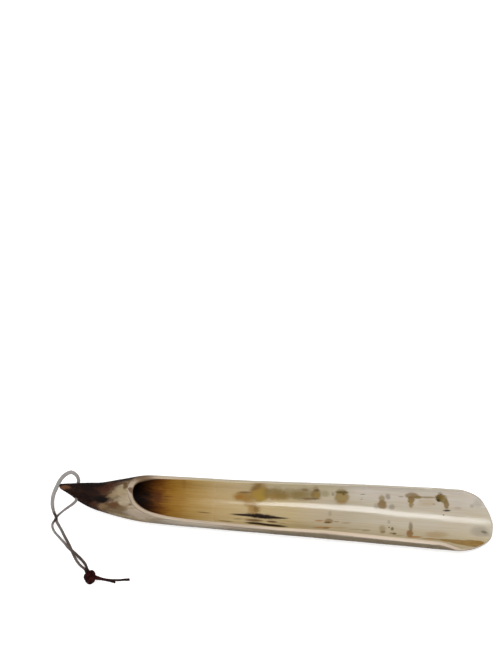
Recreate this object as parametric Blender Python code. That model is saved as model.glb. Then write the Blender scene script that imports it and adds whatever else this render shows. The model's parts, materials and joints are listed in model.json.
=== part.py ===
"""Long shoehorn carved from one natural horn, with a leather thong through its tip.

The horn is a tapered, hollow cone that curls up at its solid tip.  A saddle-shaped cut opens the
hollow into a long half-round blade, and leaves a pocket under a U-shaped face at the handle.  The
thong is one leather lace: it runs through a cross hole near the tip, its two strands cross twice,
and they end in one doubled overhand knot with a long and a short tail.  The lace is divided where
it bends, so that each length turns about the place where the lace would flex.

Units are metres, +Z up.  Lengths in the constants are millimetres, measured from the tip of the
horn (x), its middle plane (y) and the surface it lies on (z); place() moves them to the frame,
whose origin is the centre of the object's footprint.
"""

import math

import bmesh
import bpy
from mathutils import Matrix, Vector

MM = 0.001

# ---------------------------------------------------------------- horn dimensions (mm)
LENGTH = 457.8            # x of the blade end
FRAME_X = 225.29          # middle of the footprint, from the tip
FRAME_Y = -30.16          # middle of the footprint, from the horn's middle plane

RIM_Z = 30.0              # height of the two long edges of the blade
HOLE = (20.0, 1.5, 26.0)  # middle of the cross hole for the thong
HOLE_RADIUS = 2.1
HOLE_CUT_REACH = 30.0     # the hole's cutter, to each side of its middle
POCKET_X = 57.0           # deepest point of the hollow, inside the handle
DOME_LENGTH = 26.0        # the hollow's domed end
DOME_RADIUS = 26.5        # a little over its length, so the first ring keeps some width
BODY_END_X = 470.0        # the uncut cone, beyond the blade end
BODY_SEGMENTS = 56

# outer shape: distance from the tip, radius, height of the axis, side offset of the axis
HORN = (
    (0.6, 1.5, 33.6, 3.0),
    (2.0, 2.4, 33.0, 2.9),
    (6.0, 3.9, 31.9, 2.6),
    (12.6, 6.0, 30.0, 2.1),
    (23.0, 10.0, 25.4, 1.4),
    (34.0, 13.0, 22.2, 0.9),
    (44.0, 15.0, 20.7, 0.5),
    (65.0, 19.8, 22.0, 0.1),
    (97.0, 25.2, 25.3, 0.0),
    (150.0, 27.4, 27.4, 0.0),
    (255.0, 30.2, 30.2, 0.0),
    (360.0, 33.6, 33.6, 0.0),
    (413.0, 35.4, 35.4, 0.0),
    (457.0, 36.5, 36.5, 0.0),
    (BODY_END_X, 36.8, 36.8, 0.0),
)
# wall left around the hollow: distance from the tip, thickness
WALL = (
    (POCKET_X, 12.0), (70.0, 8.0), (85.0, 5.6), (110.0, 4.3),
    (150.0, 3.5), (255.0, 2.9), (360.0, 2.6), (BODY_END_X, 2.3),
)
# further rings of the body: at the handle, round the dome of the hollow, along the blade
HANDLE_STATIONS = (4.0, 9.0, 16.0, 19.5, 28.0, 39.0, 50.0)
DOME_OFFSETS = (0.0, 0.02, 0.6, 2.0, 4.5, 8.0, 13.0, 19.0, DOME_LENGTH)
BLADE_STATIONS = range(90, 460, 20)

# the cut that opens the hollow (x, z), from above the handle down to the long edges
SADDLE = (
    (66.0, 52.0), (72.0, 46.2), (76.0, 42.2), (80.0, 38.9), (88.0, 35.9),
    (98.0, 33.7), (112.0, 31.9), (128.0, 30.6), (145.0, RIM_Z),
)
SADDLE_STEP = 4.0
SADDLE_END_X = LENGTH + 30.0
SADDLE_TOP_Z = 95.0
SADDLE_WIDTH = 120.0

# the rounded blade end: distance round the shell from its lowest line (+y side positive), x
BLADE_END = (
    (-70.0, 350.0), (-54.0, 396.0), (-50.4, 405.0), (-45.0, 414.5), (-40.0, 421.5),
    (-35.0, 427.6), (-30.0, 433.4), (-25.0, 438.9), (-20.0, 444.2), (-15.9, 448.3),
    (-12.0, 451.8), (-7.2, 455.2), (-1.9, 457.4), (3.0, 457.78), (6.5, LENGTH),
    (11.6, 457.5), (17.0, 456.2), (25.0, 452.8), (32.4, 448.2), (38.0, 444.0),
    (43.5, 438.0), (47.7, 430.6), (50.6, 423.8), (54.0, 413.5), (70.0, 385.0),
)
BLADE_END_RADIUS = 36.3   # radius of the shell there
COLLAR_INNER_RADIUS = 12.0
COLLAR_OUTER_RADIUS = 56.0
COLLAR_END_X = LENGTH + 40.0
COLLAR_HALF_ANGLE = 112   # degrees to each side of the lowest line
COLLAR_STEP = 4           # degrees

# ---------------------------------------------------------------- thong dimensions (mm)
LACE_RADIUS = 1.35
LACE_STEP = 1.6           # spacing of the points along the lace
JOINT_GAP = 1.15          # length left free where the lace bends
KNOT_GAP = 1.6            # clearance where the lace enters and leaves the knot

# the two strands from the middle of the hole to the knot (x, y, z); A leaves it towards +y
STRAND_A = (
    HOLE, (20.0, 6.5, 26.0), (20.1, 11.2, 26.1), (20.6, 15.0, 26.5),
    (19.2, 18.9, 26.8), (16.1, 22.1, 26.8), (11.7, 24.1, 26.0), (7.0, 23.2, 23.5),
    (3.0, 20.7, 20.0), (0.0, 17.4, 16.0), (-1.8, 14.1, 12.5), (-3.5, 10.8, 9.5),
    (-5.0, 7.0, 6.7), (-5.8, 2.3, 4.2), (-5.7, -2.2, 2.6), (-4.5, -8.2, 1.8),
    (-2.6, -13.0, 1.5), (-0.2, -17.7, 1.5), (1.3, -22.2, 1.5), (3.9, -27.7, 1.5),
    (7.4, -33.4, 1.5), (10.9, -39.1, 1.5), (15.1, -45.9, 1.5), (18.7, -52.1, 1.5),
    (20.8, -57.2, 1.5), (22.8, -63.0, 1.5), (26.0, -68.4, 1.5), (29.9, -73.1, 2.0),
    (34.0, -77.8, 3.2), (36.7, -82.4, 4.7), (39.4, -87.2, 5.2),
)
STRAND_B = (
    HOLE, (20.0, -4.0, 26.0), (19.9, -8.4, 25.7), (17.8, -10.6, 23.4),
    (13.4, -11.9, 18.0), (8.0, -13.8, 12.4), (3.5, -16.1, 8.0), (-0.1, -19.0, 4.9),
    (-2.3, -22.4, 3.0), (-3.7, -25.6, 1.7), (-3.6, -29.6, 1.5), (-1.0, -35.1, 1.5),
    (5.1, -42.4, 1.5), (10.4, -47.9, 1.5), (14.8, -52.6, 2.2), (17.8, -55.8, 3.8),
    (21.0, -58.9, 4.9), (23.9, -60.9, 4.0), (26.8, -62.9, 2.4), (30.5, -66.4, 1.5),
    (34.1, -71.3, 2.2), (37.2, -77.0, 3.6), (39.6, -81.5, 5.8), (41.8, -86.6, 6.4),
)
# where both strands bend, in order from the hole
CROSSING_1 = (-0.2, -18.4, 3.2)
SPAN_BEND = (3.4, -34.4, 1.5)
CROSSING_2 = (21.2, -58.8, 3.2)
LOWER_BEND = (28.6, -68.3, 1.5)

KNOT = (41.2, -88.2, 5.6)
KNOT_HALF_SIZE = (6.3, 7.3, 5.3)
# the tails from inside the knot to their free ends (x, y, z)
LONG_TAIL = (
    (41.2, -88.5, 6.4), (47.5, -88.2, 6.1), (51.8, -88.4, 5.3), (56.0, -88.8, 4.9),
    (62.4, -89.1, 4.7), (67.6, -88.7, 4.4), (71.6, -87.6, 2.9), (76.9, -86.0, 1.6),
    (82.6, -85.1, 1.5),
)
SHORT_TAIL = (
    (41.1, -87.3, 4.0), (47.5, -87.8, 2.4), (51.7, -87.7, 1.6), (56.0, -87.8, 1.5),
    (61.3, -88.5, 1.5), (67.3, -89.6, 1.5),
)
TAIL_BEND = (71.0, -87.8, 3.2)

# ---------------------------------------------------------------- colours (linear RGB)
HORN_COLOUR = (0.50, 0.36, 0.20)
SPAN_COLOUR = (0.24, 0.17, 0.13)
# leather of the pieces that have this word in their name; all others have the span's
LEATHER_COLOURS = {
    "bight": (0.36, 0.31, 0.27),
    "knot": (0.09, 0.025, 0.018),
    "tail": (0.06, 0.03, 0.025),
}


# ---------------------------------------------------------------- lines and tables
def place(point):
    """Horn coordinates in mm to frame coordinates in metres."""
    return Vector(((point[0] - FRAME_X) * MM, (point[1] - FRAME_Y) * MM, point[2] * MM))


def interpolate(table, x, column=1):
    """Smooth shape-preserving interpolation of one column of a table keyed by its first column."""
    xs = [row[0] for row in table]
    values = [row[column] for row in table]
    if x <= xs[0]:
        return values[0]
    if x >= xs[-1]:
        return values[-1]
    count = len(xs)
    widths = [xs[i + 1] - xs[i] for i in range(count - 1)]
    slopes = [(values[i + 1] - values[i]) / widths[i] for i in range(count - 1)]
    # tangents: a weighted harmonic mean of the slopes, or level at a turning point
    tangents = [slopes[0]] + [0.0] * (count - 2) + [slopes[-1]]
    for i in range(1, count - 1):
        if slopes[i - 1] * slopes[i] > 0:
            before = 2 * widths[i] + widths[i - 1]
            after = widths[i] + 2 * widths[i - 1]
            tangents[i] = (before + after) / (before / slopes[i - 1] + after / slopes[i])
    i = max(k for k in range(count - 1) if xs[k] <= x)
    t = (x - xs[i]) / widths[i]
    return (
        (2 * t**3 - 3 * t**2 + 1) * values[i]
        + (t**3 - 2 * t**2 + t) * widths[i] * tangents[i]
        + (-2 * t**3 + 3 * t**2) * values[i + 1]
        + (t**3 - t**2) * widths[i] * tangents[i + 1]
    )


def blend(start, end, start_time, end_time, time):
    """The point between start and end, in proportion to time."""
    span = end_time - start_time
    return (end_time - time) / span * start + (time - start_time) / span * end


def smooth_line(points, step):
    """A centripetal Catmull-Rom line through the points, sampled about every step mm."""
    points = [Vector(p) for p in points]
    points = [2 * points[0] - points[1], *points, 2 * points[-1] - points[-2]]
    line = [points[1].copy()]
    for i in range(1, len(points) - 2):
        near = points[i - 1 : i + 3]
        times = [0.0]
        for start, end in zip(near, near[1:]):
            times.append(times[-1] + max((end - start).length, 1e-6) ** 0.5)
        count = max(1, round((near[2] - near[1]).length / step))
        for k in range(1, count + 1):
            t = times[1] + (times[2] - times[1]) * k / count
            first = [blend(near[j], near[j + 1], times[j], times[j + 1], t) for j in range(3)]
            second = [blend(first[j], first[j + 1], times[j], times[j + 2], t) for j in range(2)]
            line.append(blend(second[0], second[1], times[1], times[2], t))
    return line


def trimmed(line, start, end=math.inf):
    """The part of a line between two distances along it."""
    part = []
    reached = 0.0
    for a, b in zip(line, line[1:]):
        length = (b - a).length
        passed = reached + length
        if passed > start and reached < end:
            if not part:
                part.append(a.lerp(b, max(0.0, (start - reached) / length)))
            part.append(a.lerp(b, min(1.0, (end - reached) / length)))
        reached = passed
    return part


def sampled(line):
    """Distances along a line and the points there, eight to each segment."""
    reached = 0.0
    for a, b in zip(line, line[1:]):
        length = (b - a).length
        for k in range(8):
            yield reached + length * k / 8, a.lerp(b, k / 8)
        reached += length


def distance_to(line, target):
    """Distance along a line at which it passes closest to the target, seen from above."""
    return min(
        (math.hypot(point.x - target[0], point.y - target[1]), distance)
        for distance, point in sampled(line)
    )[1]


def point_near(line, target):
    return trimmed(line, 0.0, distance_to(line, target))[-1]


def in_knot(point):
    """Whether a point is inside the knot, swollen by its gap."""
    return sum(
        ((point[i] - KNOT[i]) / (KNOT_HALF_SIZE[i] + KNOT_GAP)) ** 2 for i in range(3)
    ) < 1.0


def knot_edge(line):
    """Distance along a line at which it first enters or leaves the swollen knot."""
    starts_inside = in_knot(line[0])
    return next(d for d, point in sampled(line) if in_knot(point) != starts_inside)


# ---------------------------------------------------------------- objects
def material(name, colour, roughness):
    mat = bpy.data.materials.new(name)
    mat.use_nodes = True
    bsdf = mat.node_tree.nodes["Principled BSDF"]
    bsdf.inputs["Base Color"].default_value = (*colour, 1.0)
    bsdf.inputs["Roughness"].default_value = roughness
    mat.diffuse_color = (*colour, 1.0)
    return mat


def leather(piece_name, roughness):
    words = [word for word in ("bight", "tail", "knot") if word in piece_name]
    colour = LEATHER_COLOURS[words[0]] if words else SPAN_COLOUR
    return material(piece_name + "_leather", colour, roughness=roughness)


def new_collection(name):
    collection = bpy.data.collections.new(name)
    bpy.context.scene.collection.children.link(collection)
    return collection


def add_object(name, data, collection):
    obj = bpy.data.objects.new(name, data)
    collection.objects.link(obj)
    return obj


def as_mesh(obj):
    """Replace a curve object by a mesh object with welded caps."""
    bpy.context.view_layer.update()
    name = obj.name
    matrix = obj.matrix_world.copy()
    collection = obj.users_collection[0]
    depsgraph = bpy.context.evaluated_depsgraph_get()
    mesh = bpy.data.meshes.new_from_object(obj.evaluated_get(depsgraph))
    bpy.data.objects.remove(obj)
    bm = bmesh.new()
    bm.from_mesh(mesh)
    bmesh.ops.remove_doubles(bm, verts=bm.verts, dist=2e-6)
    bmesh.ops.recalc_face_normals(bm, faces=bm.faces)
    bm.to_mesh(mesh)
    bm.free()
    solid = add_object(name, mesh, collection)
    solid.matrix_world = matrix
    return solid


def poly_spline(curve, points):
    """Add a straight-sided spline through four-part points."""
    spline = curve.splines.new("POLY")
    spline.points.add(len(points) - 1)
    for spline_point, point in zip(spline.points, points):
        spline_point.co = point
    return spline


def tube(name, line, radius, collection, resolution=2):
    """A round capped tube along a line of points."""
    curve = bpy.data.curves.new(name, "CURVE")
    curve.dimensions = "3D"
    curve.bevel_depth = MM
    curve.bevel_resolution = resolution
    curve.use_fill_caps = True
    spline = poly_spline(curve, [(*place(p), 1.0) for p in line])
    for point in spline.points:
        # multiplies the bevel depth of 1 mm
        point.radius = radius
    return as_mesh(add_object(name, curve, collection))


def closed_solid(name, bm, rings, collection):
    """Cap the first and last of the joined rings and make an object of the mesh."""
    bm.faces.new(rings[0])
    bm.faces.new(list(reversed(rings[-1])))
    bmesh.ops.recalc_face_normals(bm, faces=bm.faces)
    mesh = bpy.data.meshes.new(name)
    bm.to_mesh(mesh)
    bm.free()
    return add_object(name, mesh, collection)


def cut(target, cutter):
    mod = target.modifiers.new("cut_" + cutter.name, "BOOLEAN")
    mod.operation = "DIFFERENCE"
    mod.solver = "EXACT"
    mod.object = cutter
    cutter.hide_render = True
    cutter.display_type = "WIRE"


def smooth(obj, angle):
    obj.data.shade_smooth()
    obj.data.set_sharp_from_angle(angle=math.radians(angle))


def attach(obj, parent):
    """Parent an object and keep it where it is."""
    bpy.context.view_layer.update()
    world = obj.matrix_world.copy()
    obj.parent = parent
    obj.matrix_parent_inverse = parent.matrix_world.inverted()
    obj.matrix_world = world
    bpy.context.view_layer.update()


# ---------------------------------------------------------------- horn
def outer_radius(x):
    return interpolate(HORN, x)


def hollow_radius(x):
    """Radius of the hollow, which closes to a dome inside the handle."""
    radius = outer_radius(x) - interpolate(WALL, x)
    dome_end = POCKET_X + DOME_LENGTH
    if x < dome_end:
        radius *= math.sqrt(max(0.0, 1.0 - ((dome_end - x) / DOME_RADIUS) ** 2))
    return radius


def lofted_cone(name, radius_at, stations, collection):
    """A closed loft of circles about the horn's axis, one at each station."""
    bm = bmesh.new()
    turns = [2 * math.pi * k / BODY_SEGMENTS for k in range(BODY_SEGMENTS)]
    rings = []
    for x in stations:
        radius = radius_at(x)
        axis_z = interpolate(HORN, x, 2)
        axis_y = interpolate(HORN, x, 3)
        rings.append([
            bm.verts.new(place((x, axis_y + radius * math.cos(t), axis_z + radius * math.sin(t))))
            for t in turns
        ])
    for a, b in zip(rings, rings[1:]):
        for k in range(BODY_SEGMENTS):
            j = (k + 1) % BODY_SEGMENTS
            bm.faces.new((a[k], b[k], b[j], a[j]))
    return closed_solid(name, bm, rings, collection)


def saddle_cutter(collection):
    """Side profile of all that is sawn away above the blade, extruded across the middle plane."""
    curved = smooth_line([(x, 0.0, z) for x, z in SADDLE], SADDLE_STEP)
    outline = [(x, z) for x, _, z in curved]
    outline += [
        (SADDLE_END_X, RIM_Z),
        (SADDLE_END_X, SADDLE_TOP_Z),
        (SADDLE[0][0], SADDLE_TOP_Z),
    ]
    curve = bpy.data.curves.new("cut_saddle", "CURVE")
    curve.dimensions = "2D"
    curve.fill_mode = "BOTH"
    curve.extrude = SADDLE_WIDTH / 2 * MM
    spline = poly_spline(curve, [((x - FRAME_X) * MM, z * MM, 0.0, 1.0) for x, z in outline])
    spline.use_cyclic_u = True
    obj = add_object("cut_saddle", curve, collection)
    obj.location = (0.0, -FRAME_Y * MM, 0.0)
    obj.rotation_euler = (math.radians(90), 0.0, 0.0)
    return as_mesh(obj)


def blade_end_cutter(collection):
    """A thick collar around the blade; its edge towards the tip follows the rounded blade end."""
    bm = bmesh.new()
    sections = []
    for degrees in range(-COLLAR_HALF_ANGLE, COLLAR_HALF_ANGLE + 1, COLLAR_STEP):
        angle = math.radians(degrees)
        edge_x = interpolate(BLADE_END, BLADE_END_RADIUS * angle)
        corners = (
            (edge_x, COLLAR_INNER_RADIUS),
            (edge_x, COLLAR_OUTER_RADIUS),
            (COLLAR_END_X, COLLAR_OUTER_RADIUS),
            (COLLAR_END_X, COLLAR_INNER_RADIUS),
        )
        sections.append([
            bm.verts.new(place((x, r * math.sin(angle), BLADE_END_RADIUS - r * math.cos(angle))))
            for x, r in corners
        ])
    for a, b in zip(sections, sections[1:]):
        for k in range(4):
            j = (k + 1) % 4
            bm.faces.new((a[k], a[j], b[j], b[k]))
    return closed_solid("cut_blade_end", bm, sections, collection)


def cross_hole_cutter(collection):
    x, y, z = HOLE
    line = [(x, y - HOLE_CUT_REACH, z), (x, y + HOLE_CUT_REACH, z)]
    return tube("cut_cross_hole", line, HOLE_RADIUS, collection, resolution=6)


def build_horn(collection, cutters):
    stations = sorted(
        {row[0] for row in HORN}
        | set(HANDLE_STATIONS)
        | {POCKET_X + offset for offset in DOME_OFFSETS}
        | {float(x) for x in BLADE_STATIONS}
    )
    hollow_stations = [x for x in stations if x >= POCKET_X]
    horn = lofted_cone("horn_body", outer_radius, stations, collection)
    horn.data.materials.append(material("polished_horn", HORN_COLOUR, roughness=0.18))
    cut(horn, lofted_cone("cut_hollow", hollow_radius, hollow_stations, cutters))
    cut(horn, saddle_cutter(cutters))
    cut(horn, blade_end_cutter(cutters))
    cut(horn, cross_hole_cutter(cutters))
    smooth(horn, angle=35.0)


# ---------------------------------------------------------------- thong
def lace_lines(strand_a, strand_b, long_tail, short_tail):
    """The centre line of each length of the lace, by name."""
    half_gap = JOINT_GAP / 2
    lines = {}
    to_crossing = []
    # right is the +x side; the strands change sides at the second crossing
    for strand, sides in (
        (strand_a, ("right", "right", "left", "left")),
        (strand_b, ("left", "left", "right", "right")),
    ):
        bends = (CROSSING_1, SPAN_BEND, CROSSING_2, LOWER_BEND)
        starts = [distance_to(strand, bend) for bend in bends]
        ends = [start - half_gap for start in starts[1:]] + [knot_edge(strand)]
        to_crossing.append(trimmed(strand, 0.0, starts[0] - half_gap))
        for number, (side, start, end) in enumerate(zip(sides, starts, ends), 1):
            lines[f"thong_{side}_{number}"] = trimmed(strand, start + half_gap, end)
    lines["thong_bight"] = list(reversed(to_crossing[0]))[:-1] + to_crossing[1]

    bend = distance_to(long_tail, TAIL_BEND)
    lines["thong_long_tail_1"] = trimmed(long_tail, knot_edge(long_tail), bend - half_gap)
    lines["thong_long_tail_2"] = trimmed(long_tail, bend + half_gap)
    lines["thong_short_tail"] = trimmed(short_tail, knot_edge(short_tail))
    return lines


def lace_piece(name, line, collection):
    obj = tube(name, line, LACE_RADIUS, collection)
    obj.data.materials.append(leather(name, roughness=0.6))
    smooth(obj, angle=50.0)
    return obj


def knot_piece(collection):
    """The knot, simplified to an ellipsoid."""
    bpy.ops.mesh.primitive_uv_sphere_add(
        segments=28, ring_count=16, radius=1.0, location=place(KNOT)
    )
    knot = bpy.context.active_object
    knot.name = knot.data.name = "thong_knot"
    knot.scale = [half * MM for half in KNOT_HALF_SIZE]
    for linked in list(knot.users_collection):
        linked.objects.unlink(knot)
    collection.objects.link(knot)
    knot.data.materials.append(leather("thong_knot", roughness=0.5))
    knot.data.shade_smooth()
    return knot


def bend_empty(name, point, axis, collection):
    """An empty on a bend of the lace, its Z axis along the hinge axis."""
    empty = add_object(name, None, collection)
    empty.empty_display_size = 0.006
    empty.empty_display_type = "SINGLE_ARROW"
    turn = Vector((0, 0, 1)).rotation_difference(Vector(axis).normalized())
    empty.matrix_world = Matrix.Translation(place(point)) @ turn.to_matrix().to_4x4()
    return empty


def build_bends(pieces, lines, strand_a, strand_b, long_tail, collection):
    """The bends of the lace as a tree of empties, each carrying the pieces that turn about it."""
    span_a, span_b = point_near(strand_a, SPAN_BEND), point_near(strand_b, SPAN_BEND)
    low_a, low_b = point_near(strand_a, LOWER_BEND), point_near(strand_b, LOWER_BEND)
    level = Vector((1, 1, 0))
    span_axis = (span_a - span_b) * level
    low_axis = (low_b - low_a) * level
    knot_entry = (lines["thong_left_4"][-1] + lines["thong_right_4"][-1]) / 2
    long_exit = lines["thong_long_tail_1"][0]
    short_exit = lines["thong_short_tail"][0]
    tail_bend = point_near(long_tail, TAIL_BEND)
    up = (0, 0, 1)
    # bend, place, hinge axis, parent bend, pieces
    tree = (
        ("hole", HOLE, (0, 1, 0), None, ("bight",)),
        ("crossing_1", CROSSING_1, up, "hole", ("right_1", "left_1")),
        ("span", (span_a + span_b) / 2, span_axis, "crossing_1", ("right_2", "left_2")),
        ("crossing_2", CROSSING_2, up, "span", ("right_3", "left_3")),
        ("lower", (low_a + low_b) / 2, low_axis, "crossing_2", ("right_4", "left_4")),
        ("knot", knot_entry, up, "lower", ("knot",)),
        ("long_tail", long_exit, up, "knot", ("long_tail_1",)),
        ("long_tail_end", tail_bend, (0.25, 1, 0), "long_tail", ("long_tail_2",)),
        ("short_tail", short_exit, up, "knot", ("short_tail",)),
    )
    bends = {}
    for name, point, axis, parent, carried in tree:
        bends[name] = bend_empty("bend_" + name, point, axis, collection)
        if parent is not None:
            attach(bends[name], bends[parent])
        for piece in carried:
            attach(pieces["thong_" + piece], bends[name])


def build_thong(collection):
    strand_a, strand_b, long_tail, short_tail = (
        smooth_line(points, LACE_STEP) for points in (STRAND_A, STRAND_B, LONG_TAIL, SHORT_TAIL)
    )
    lines = lace_lines(strand_a, strand_b, long_tail, short_tail)
    pieces = {name: lace_piece(name, line, collection) for name, line in lines.items()}
    pieces["thong_knot"] = knot_piece(collection)
    build_bends(pieces, lines, strand_a, strand_b, long_tail, collection)


# ---------------------------------------------------------------- scene
for old in list(bpy.data.objects):
    bpy.data.objects.remove(old, do_unlink=True)

shoehorn = new_collection("long_shoehorn")
build_horn(shoehorn, new_collection("cutters"))
build_thong(shoehorn)
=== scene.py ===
"""A long shoehorn of polished natural horn, with a knotted leather thong through its handle.

Lengths here are millimetres in the horn's own coordinates: x runs from the handle's tip to the
blade's end, y across from the near side (-) to the far side (+), z up from the surface it lies on.
world() turns them into the frame's metres, placed by the thong's joint at the cross hole.
"""

import json
import math

import bmesh
import bpy
import numpy as np
from mathutils import Matrix, Vector

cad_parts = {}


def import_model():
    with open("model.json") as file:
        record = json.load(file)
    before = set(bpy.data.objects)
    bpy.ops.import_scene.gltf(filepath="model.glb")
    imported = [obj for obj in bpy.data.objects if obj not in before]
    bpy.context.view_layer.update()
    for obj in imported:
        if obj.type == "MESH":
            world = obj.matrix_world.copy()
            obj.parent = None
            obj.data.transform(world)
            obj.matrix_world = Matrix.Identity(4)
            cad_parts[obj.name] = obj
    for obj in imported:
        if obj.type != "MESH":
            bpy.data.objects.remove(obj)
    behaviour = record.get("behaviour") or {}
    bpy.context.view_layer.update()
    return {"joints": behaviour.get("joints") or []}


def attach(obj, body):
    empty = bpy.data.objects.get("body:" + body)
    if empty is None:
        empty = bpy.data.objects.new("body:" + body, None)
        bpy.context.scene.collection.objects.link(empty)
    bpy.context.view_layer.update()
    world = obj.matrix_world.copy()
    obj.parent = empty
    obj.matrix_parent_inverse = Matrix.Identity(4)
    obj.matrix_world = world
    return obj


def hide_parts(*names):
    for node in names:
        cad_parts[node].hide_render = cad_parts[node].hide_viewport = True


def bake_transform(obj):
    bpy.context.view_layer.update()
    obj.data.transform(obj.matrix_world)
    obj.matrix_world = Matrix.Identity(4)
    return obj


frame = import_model()

MM = 0.001
HOLE = (20, 1.5, 26)
JOINT = {joint["name"]: Vector(joint["pos_m"]) for joint in frame["joints"]}
ORIGIN = JOINT["thong_swing"] - Vector(HOLE) * MM

scene = bpy.context.scene
collection = scene.collection


def world(point):
    """Horn coordinates to frame metres."""
    return Vector(point) * MM + ORIGIN


def local(point):
    """Frame metres to horn coordinates."""
    return (Vector(point) - ORIGIN) / MM


# ------------------------------------------------------------------ curves and mesh helpers
class Smooth:
    """Shape-preserving cubic through a table, for arrays."""

    def __init__(self, table, column=1):
        self.x = np.array([row[0] for row in table], float)
        self.y = np.array([row[column] for row in table], float)
        gap = np.diff(self.x)
        grade = np.diff(self.y) / gap
        slopes = np.concatenate([grade[:1], np.zeros(len(grade) - 1), grade[-1:]])
        for i in range(1, len(grade)):
            if grade[i - 1] * grade[i] > 0:
                before, after = 2 * gap[i] + gap[i - 1], gap[i] + 2 * gap[i - 1]
                slopes[i] = (before + after) / (before / grade[i - 1] + after / grade[i])
        self.gap, self.slopes = gap, slopes

    def __call__(self, x):
        x = np.clip(np.asarray(x, float), self.x[0], self.x[-1])
        i = np.clip(np.searchsorted(self.x, x, side="right") - 1, 0, len(self.gap) - 1)
        gap = self.gap[i]
        t = (x - self.x[i]) / gap
        return (
            (2 * t**3 - 3 * t**2 + 1) * self.y[i]
            + (t**3 - 2 * t**2 + t) * gap * self.slopes[i]
            + (-2 * t**3 + 3 * t**2) * self.y[i + 1]
            + (t**3 - t**2) * gap * self.slopes[i + 1]
        )

    def slope(self, x, reach=0.05):
        return (self(np.asarray(x) + reach) - self(np.asarray(x) - reach)) / (2 * reach)


def rise(value, start, over):
    """0 up to start, then a straight rise to 1."""
    return np.clip((value - start) / over, 0, 1)


def fall(value, end, over):
    """A straight fall from 1 that reaches 0 at end."""
    return np.clip((end - value) / over, 0, 1)


def smoothstep(t):
    return t * t * (3 - 2 * t)


def bridge(bm, ring_a, ring_b):
    """Faces between two closed rings of vertices."""
    count = len(ring_a)
    for k in range(count):
        after = (k + 1) % count
        bm.faces.new((ring_a[k], ring_a[after], ring_b[after], ring_b[k]))


def capped_tube(bm, rings):
    for ring_a, ring_b in zip(rings, rings[1:]):
        bridge(bm, ring_a, ring_b)
    bm.faces.new(rings[0])
    bm.faces.new(list(reversed(rings[-1])))


def link_mesh(name, mesh):
    obj = bpy.data.objects.new(name, mesh)
    collection.objects.link(obj)
    return obj


def finish_mesh(name, bm):
    bmesh.ops.recalc_face_normals(bm, faces=bm.faces)
    mesh = bpy.data.meshes.new(name)
    bm.to_mesh(mesh)
    bm.free()
    return link_mesh(name, mesh)


def write_attribute(mesh, name, values):
    layer = mesh.attributes.new(name, "FLOAT", "POINT")
    layer.data.foreach_set("value", np.array(values, np.float32))


def shade(obj, sharp_degrees):
    obj.data.shade_smooth()
    obj.data.set_sharp_from_angle(angle=math.radians(sharp_degrees))


def apply_modifiers(obj):
    deps = bpy.context.evaluated_depsgraph_get()
    bpy.context.view_layer.update()
    obj_eval = obj.evaluated_get(deps)
    mesh = bpy.data.meshes.new_from_object(obj_eval, preserve_all_data_layers=True, depsgraph=deps)
    obj.modifiers.clear()
    obj.data = mesh


# ------------------------------------------------------------------ the horn's shape
LENGTH = 457.8
TIP_X = 0.6
# the hollow starts at POCKET_X with a dome of length DOME
POCKET_X, DOME = 56.5, 26.5
# radius that unrolls the blade's section, and where its end outline starts to count
END_R, END_START = 36.3, 300.0

# x, outer radius, centre z, centre y
HORN = (
    (0.6, 1.5, 33.6, 3), (2, 2.4, 33, 2.9), (6, 3.9, 31.9, 2.6), (12.6, 6, 30, 2.1),
    (23, 10, 25.4, 1.4), (34, 13, 22.2, 0.9), (44, 15, 20.7, 0.5), (65, 19.8, 22, 0.1),
    (97, 25.2, 25.3, 0), (150, 27.4, 27.4, 0), (255, 30.2, 30.2, 0), (360, 33.6, 33.6, 0),
    (413, 35.4, 35.4, 0), (457, 36.5, 36.5, 0), (470, 36.8, 36.8, 0),
)
# x, wall thickness
WALL = ((57, 12), (70, 8), (85, 5.6), (110, 4.3), (150, 3.5), (255, 2.9), (360, 2.6), (470, 2.3))
# x, height of the slanted cut that opens the hollow
SADDLE = (
    (40, 84), (60, 58.8), (66, 52), (72, 46.2), (76, 42.2), (80, 38.9), (88, 35.9), (98, 33.7),
    (112, 31.9), (128, 30.6), (145, 30), (200, 30), (520, 30),
)
# distance round the section from the lowest line, x of the blade's end
BLADE_END = (
    (-70, 350), (-54, 396), (-50.4, 405), (-45, 414.5), (-40, 421.5), (-35, 427.6), (-30, 433.4),
    (-25, 438.9), (-20, 444.2), (-15.9, 448.3), (-12, 451.8), (-7.2, 455.2), (-1.9, 457.4),
    (3, 457.78), (6.5, LENGTH), (11.6, 457.5), (17, 455.8), (25, 452.2), (32.4, 447.6), (38, 444),
    (43.5, 438), (47.7, 430.6), (50.6, 423.8), (54, 413.5), (70, 385),
)
# x, sideways wander of the long far edge
FAR_EDGE = (
    (60, 0), (140, 0), (160, -0.25), (180, -0.7), (201, -0.6), (222, 0.1), (243, 0.35),
    (264, 0.65), (285, 0.7), (327, 1), (369, 0.95), (390, 0.85), (411, 0.3), (432, 0.35), (470, 0),
)
# x, extra thickness of the rounded bead inside the near rim
BEAD = ((120, 0), (160, 0.9), (201, 1.4), (254, 2), (306, 2.5), (420, 2.5), (455, 1))

horn_r, horn_z, horn_y = (Smooth(HORN, column) for column in (1, 2, 3))
wall, saddle, blade_end = Smooth(WALL), Smooth(SADDLE), Smooth(BLADE_END)
far_edge, bead = Smooth(FAR_EDGE), Smooth(BEAD)


# In these functions th is the angle round the section from its lowest line, positive to the far side.
def far_shift(x, th):
    return far_edge(x) * rise(np.sin(th), 0.55, over=0.4)


def near_lean(x, th):
    """The near wall leans inwards a little just under its rim."""
    high = smoothstep(rise(-np.sin(th), 0.885, over=0.105))
    return 1.6 * high * rise(x, 232, over=50) * fall(x, 458, over=25)


def near_bead(x, th):
    return bead(x) * smoothstep(rise(-np.sin(th), 0.78, over=0.18))


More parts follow.
